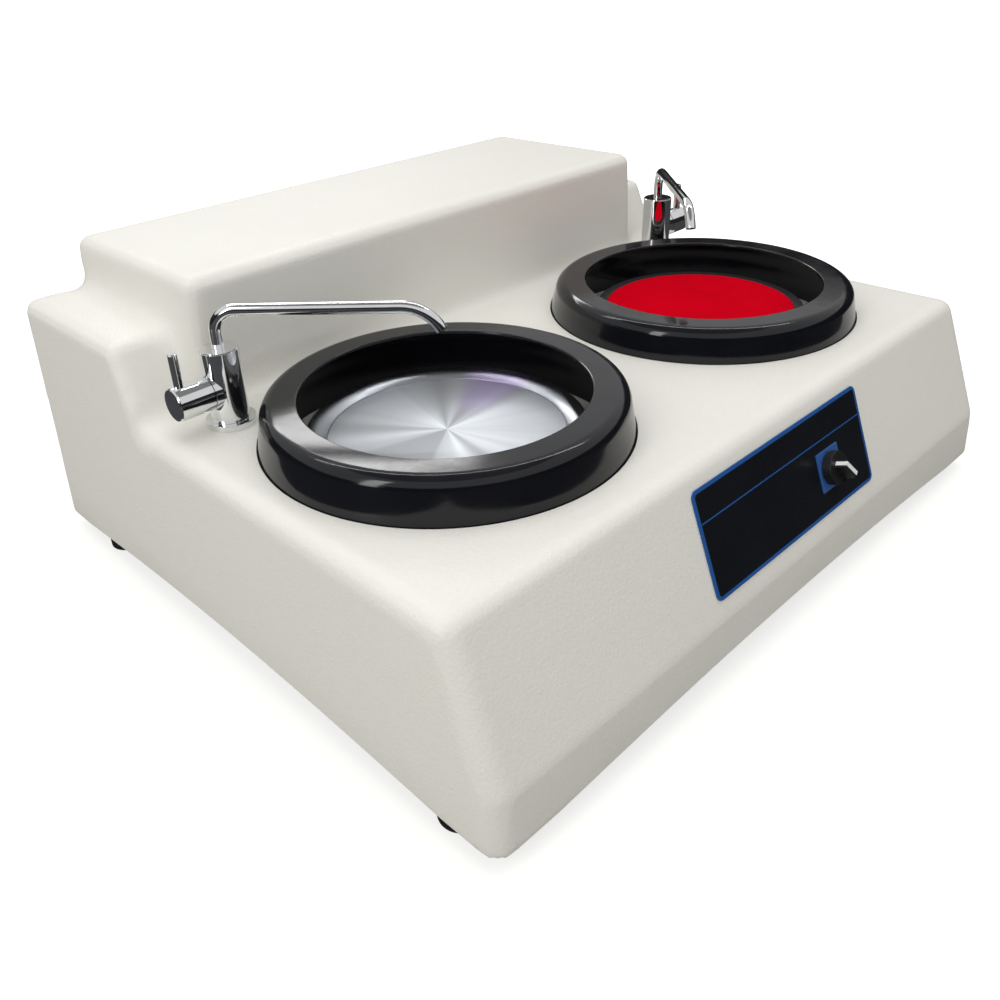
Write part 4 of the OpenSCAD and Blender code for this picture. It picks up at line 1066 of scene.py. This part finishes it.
def rim_arches():
    """Long shallow arches under the walls."""
    arches = []
    depth_half = (RIM_FRONT + RIM_BACK) / 2
    for half, way, middle in ((RIM_HALF - CORNER, (0, 1, 0), 0.0),
                              (depth_half - CORNER, (1, 0, 0), (RIM_BACK - RIM_FRONT) / 2)):
        radius = (half * half + ARCH * ARCH) / (2 * ARCH)
        start = on_deck(0, middle, ARCH - SKIRT - radius) - Vector(way) * 1.0
        arches.append(rod_form(radius, start, way, 2.0, ARCH_SEGMENTS))
    return arches


class DressBody(bpy.types.Operator):
    """Dress the moulded body, its base plate and its feet"""
    bl_idname = "polisher.dress_body"
    bl_label = "Body"

    def execute(self, context):
        cream = moulded_body_material()
        add_piece(moulded_body(), "moulded_body", body_of("housing"), cream, ("housing",))
        sheet = streaked_metal_material("Galvanised Sheet", (0.5, 0.51, 0.52), 0.38, (1.0, 0.05, 1.0))
        dress_node("base_plate", sheet)
        dress_copy("rubber_feet", "feet", finish_named("Black Rubber"), 0.0015, 3)
        return {"FINISHED"}


class DressRings(bpy.types.Operator):
    """Dress the two glossy splash rings"""
    bl_idname = "polisher.dress_rings"
    bl_label = "Splash Rings"

    def execute(self, context):
        plastic = ring_plastic_material()
        for side in ("left", "right"):
            dress_copy("splash_ring_" + side, "glossy_ring_" + side, plastic,
                       0.0008, 3, angle=40.0)
        return {"FINISHED"}


class DressWheels(bpy.types.Operator):
    """Dress the platens, their clamp hoops and the polishing cloth"""
    bl_idname = "polisher.dress_wheels"
    bl_label = "Wheels"

    def execute(self, context):
        edge = settings().edge_width
        low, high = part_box("platen_left")
        left = (low + high) / 2
        low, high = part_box("platen_right")
        right = (low + high) / 2
        # Each look: centre, colour, roughness, grooves, bump strength, how much darker the colour is
        # outside the painted highlight fans, and anisotropy.
        turned = (
            ("platen_left", "turned_platen_left", "aluminium", "Turned Aluminium Left",
             (left, (0.93, 0.96, 1.0), 0.58, 2600.0, 0.25, 0.42, 0.25)),
            ("platen_right", "turned_platen_right", "aluminium", "Turned Aluminium Right",
             (right, (0.93, 0.95, 0.98), 0.5, 2600.0, 0.25, 0.3, 0.4)),
            ("clamp_hoop_left", "slate_hoop", "slate_hoop", "Slate Hoop",
             (left, (0.5, 0.52, 0.56), 0.3, 3200.0, 0.2, 0.2, 0.4)),
        )
        for node, name, slot, finish, look in turned:
            dress_copy(node, name, turned_material(finish, *look), edge, weighted=False)
        dress_copy("clamp_hoop_right", "dark_hoop", finish_named("Dark Hoop"), edge)
        self.lay_cloth()
        return {"FINISHED"}

    def lay_cloth(self):
        low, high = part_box("polishing_cloth")
        radius = (high.x - low.x) / 2
        middle = (low + high) / 2
        bm = bmesh.new()
        bmesh.ops.create_circle(bm, cap_ends=True, radius=radius, segments=160,
                                matrix=Matrix.Translation((middle.x, middle.y, low.z)))
        grown = bmesh.ops.extrude_face_region(bm, geom=bm.faces[:])
        raised = [v for v in grown["geom"] if isinstance(v, bmesh.types.BMVert)]
        bmesh.ops.translate(bm, verts=raised, vec=(0.0, 0.0, high.z - low.z))
        top = [e for e in bm.edges if all(v in raised for v in e.verts)]
        bmesh.ops.bevel(bm, geom=top, offset=0.0006, offset_type="OFFSET", segments=3, profile=0.5,
                        affect="EDGES", clamp_overlap=True, material=-1)
        bmesh.ops.recalc_face_normals(bm, faces=bm.faces)
        cloth = add_piece(bm, "red_cloth", "wheel_right", cloth_material(),
                          ("polishing_cloth",))


class DressTaps(bpy.types.Operator):
    """Dress the two chrome taps with their spouts and lever knobs"""
    bl_idname = "polisher.dress_taps"
    bl_label = "Taps"

    def execute(self, context):
        edge = settings().edge_width
        chrome = polished_metal_material("Chrome", (0.86, 0.87, 0.88), 0.05)
        for side in ("left", "right"):
            dress_copy("tap_body_" + side, "chrome_tap_" + side, chrome, edge)
            dress_copy("tap_spout_" + side, "chrome_spout_" + side, chrome, angle=60.0)
            dress_copy("tap_handle_" + side, "chrome_lever_" + side, chrome, edge)
        return {"FINISHED"}


class DressPanel(bpy.types.Operator):
    """Dress the control panel, the switch plate, the switch knob and its pointer"""
    bl_idname = "polisher.dress_panel"
    bl_label = "Control Panel"

    def execute(self, context):
        blue = finish_named("Blue Switch Plate")
        black = finish_named("Black Knob")
        white = finish_named("White Pointer Paint")
        dress_copy("control_panel", "panel_film", panel_film_material(), 0.0003)
        dress_copy("switch_plate", "blue_switch_plate", blue, 0.0005, 3)
        dress_copy("switch_knob", "black_knob", black, 0.0006, 3)
        dress_copy("knob_pointer", "white_pointer", white, 0.0001, 1)
        return {"FINISHED"}


class DressFittings(bpy.types.Operator):
    """Dress the drain pipes, the water inlet and the cable gland at the rear"""
    bl_idname = "polisher.dress_fittings"
    bl_label = "Rear Fittings"

    def execute(self, context):
        edge = settings().edge_width
        tube = streaked_metal_material("Drawn Steel Tube", (0.62, 0.63, 0.65), 0.3, (1.0, 0.03, 1.0))
        for side in ("left", "right"):
            dress_copy("drain_pipe_" + side, "steel_drain_" + side, tube, edge)
        brass = polished_metal_material("Brass", (0.72, 0.52, 0.24), 0.22)
        dress_copy("water_inlet", "brass_inlet", brass, edge)
        nylon = finish_named("Black Nylon")
        dress_copy("cable_gland", "nylon_gland", nylon, edge)
        copper = polished_metal_material("Copper Pipe", (0.72, 0.36, 0.22), 0.28)
        dress_node("water_pipe", copper)
        dress_node("tap_nuts", brass)
        dress_node("drain_nuts", nylon)
        dress_node("switch_body", nylon)
        return {"FINISHED"}


class DressDrive(bpy.types.Operator):
    """Dress the motor, belts, pulleys, spindles and bearings inside"""
    bl_idname = "polisher.dress_drive"
    bl_label = "Drive"

    def execute(self, context):
        steel = streaked_metal_material("Turned Steel", (0.6, 0.61, 0.63), 0.26, (1.0, 1.0, 0.05))
        zinc = finish_named("Zinc Plating")
        dressed = (
            (steel, "spindle_left spindle_right motor_shaft upper_bearing_left upper_bearing_right "
                    "lower_bearing_left lower_bearing_right"),
            (zinc, "foot_bolts foot_nuts plate_screws bearing_bolts motor_bolts bracket_screws "
                   "capacitor_clamp motor_bracket"),
            (finish_named("Cast Iron"), "bearing_housing_left bearing_housing_right"),
            (finish_named("Belt Rubber"), "drive_belt_left drive_belt_right"),
            (finish_named("Motor Enamel"), "motor_body"),
            (finish_named("Capacitor Can"), "capacitor"),
            (finish_named("Pulley Alloy"), "spindle_pulley_left spindle_pulley_right motor_pulley"),
        )
        for material, nodes in dressed:
            for node in nodes.split():
                dress_node(node, material)
        return {"FINISHED"}


class PolisherPanel(bpy.types.Panel):
    """Lists what dresses the machine"""
    bl_idname = "POLISHER_PT_pieces"
    bl_label = "Polishing Machine"
    bl_space_type = "VIEW_3D"
    bl_region_type = "UI"
    bl_category = "Polisher"

    def draw(self, context):
        column = self.layout.column()
        for operator in OPERATORS:
            column.operator(operator.bl_idname)
        for name in PolisherSettings.__annotations__:
            column.prop(context.scene.polisher, name)
        for name in StageSettings.__annotations__:
            column.prop(context.scene.polisher_stage, name)


OPERATORS = (AddCamera, DressBody, DressRings, DressWheels, DressTaps, DressPanel, DressFittings,
             DressDrive, AddStage)
CLASSES = (PolisherSettings, StageSettings) + OPERATORS + (PolisherPanel,)


def register():
    for item in CLASSES:
        bpy.utils.register_class(item)
    bpy.types.Scene.polisher = bpy.props.PointerProperty(type=PolisherSettings)
    bpy.types.Scene.polisher_stage = bpy.props.PointerProperty(type=StageSettings)


def unregister():
    del bpy.types.Scene.polisher_stage
    del bpy.types.Scene.polisher
    for item in reversed(CLASSES):
        bpy.utils.unregister_class(item)


def main():
    register()
    bpy.ops.polisher.add_camera()
    bpy.ops.polisher.dress_body()
    bpy.ops.polisher.dress_rings()
    bpy.ops.polisher.dress_wheels()
    bpy.ops.polisher.dress_taps()
    bpy.ops.polisher.dress_panel()
    bpy.ops.polisher.dress_fittings()
    bpy.ops.polisher.dress_drive()
    bpy.ops.polisher.add_stage()


if __name__ == "__main__":
    main()
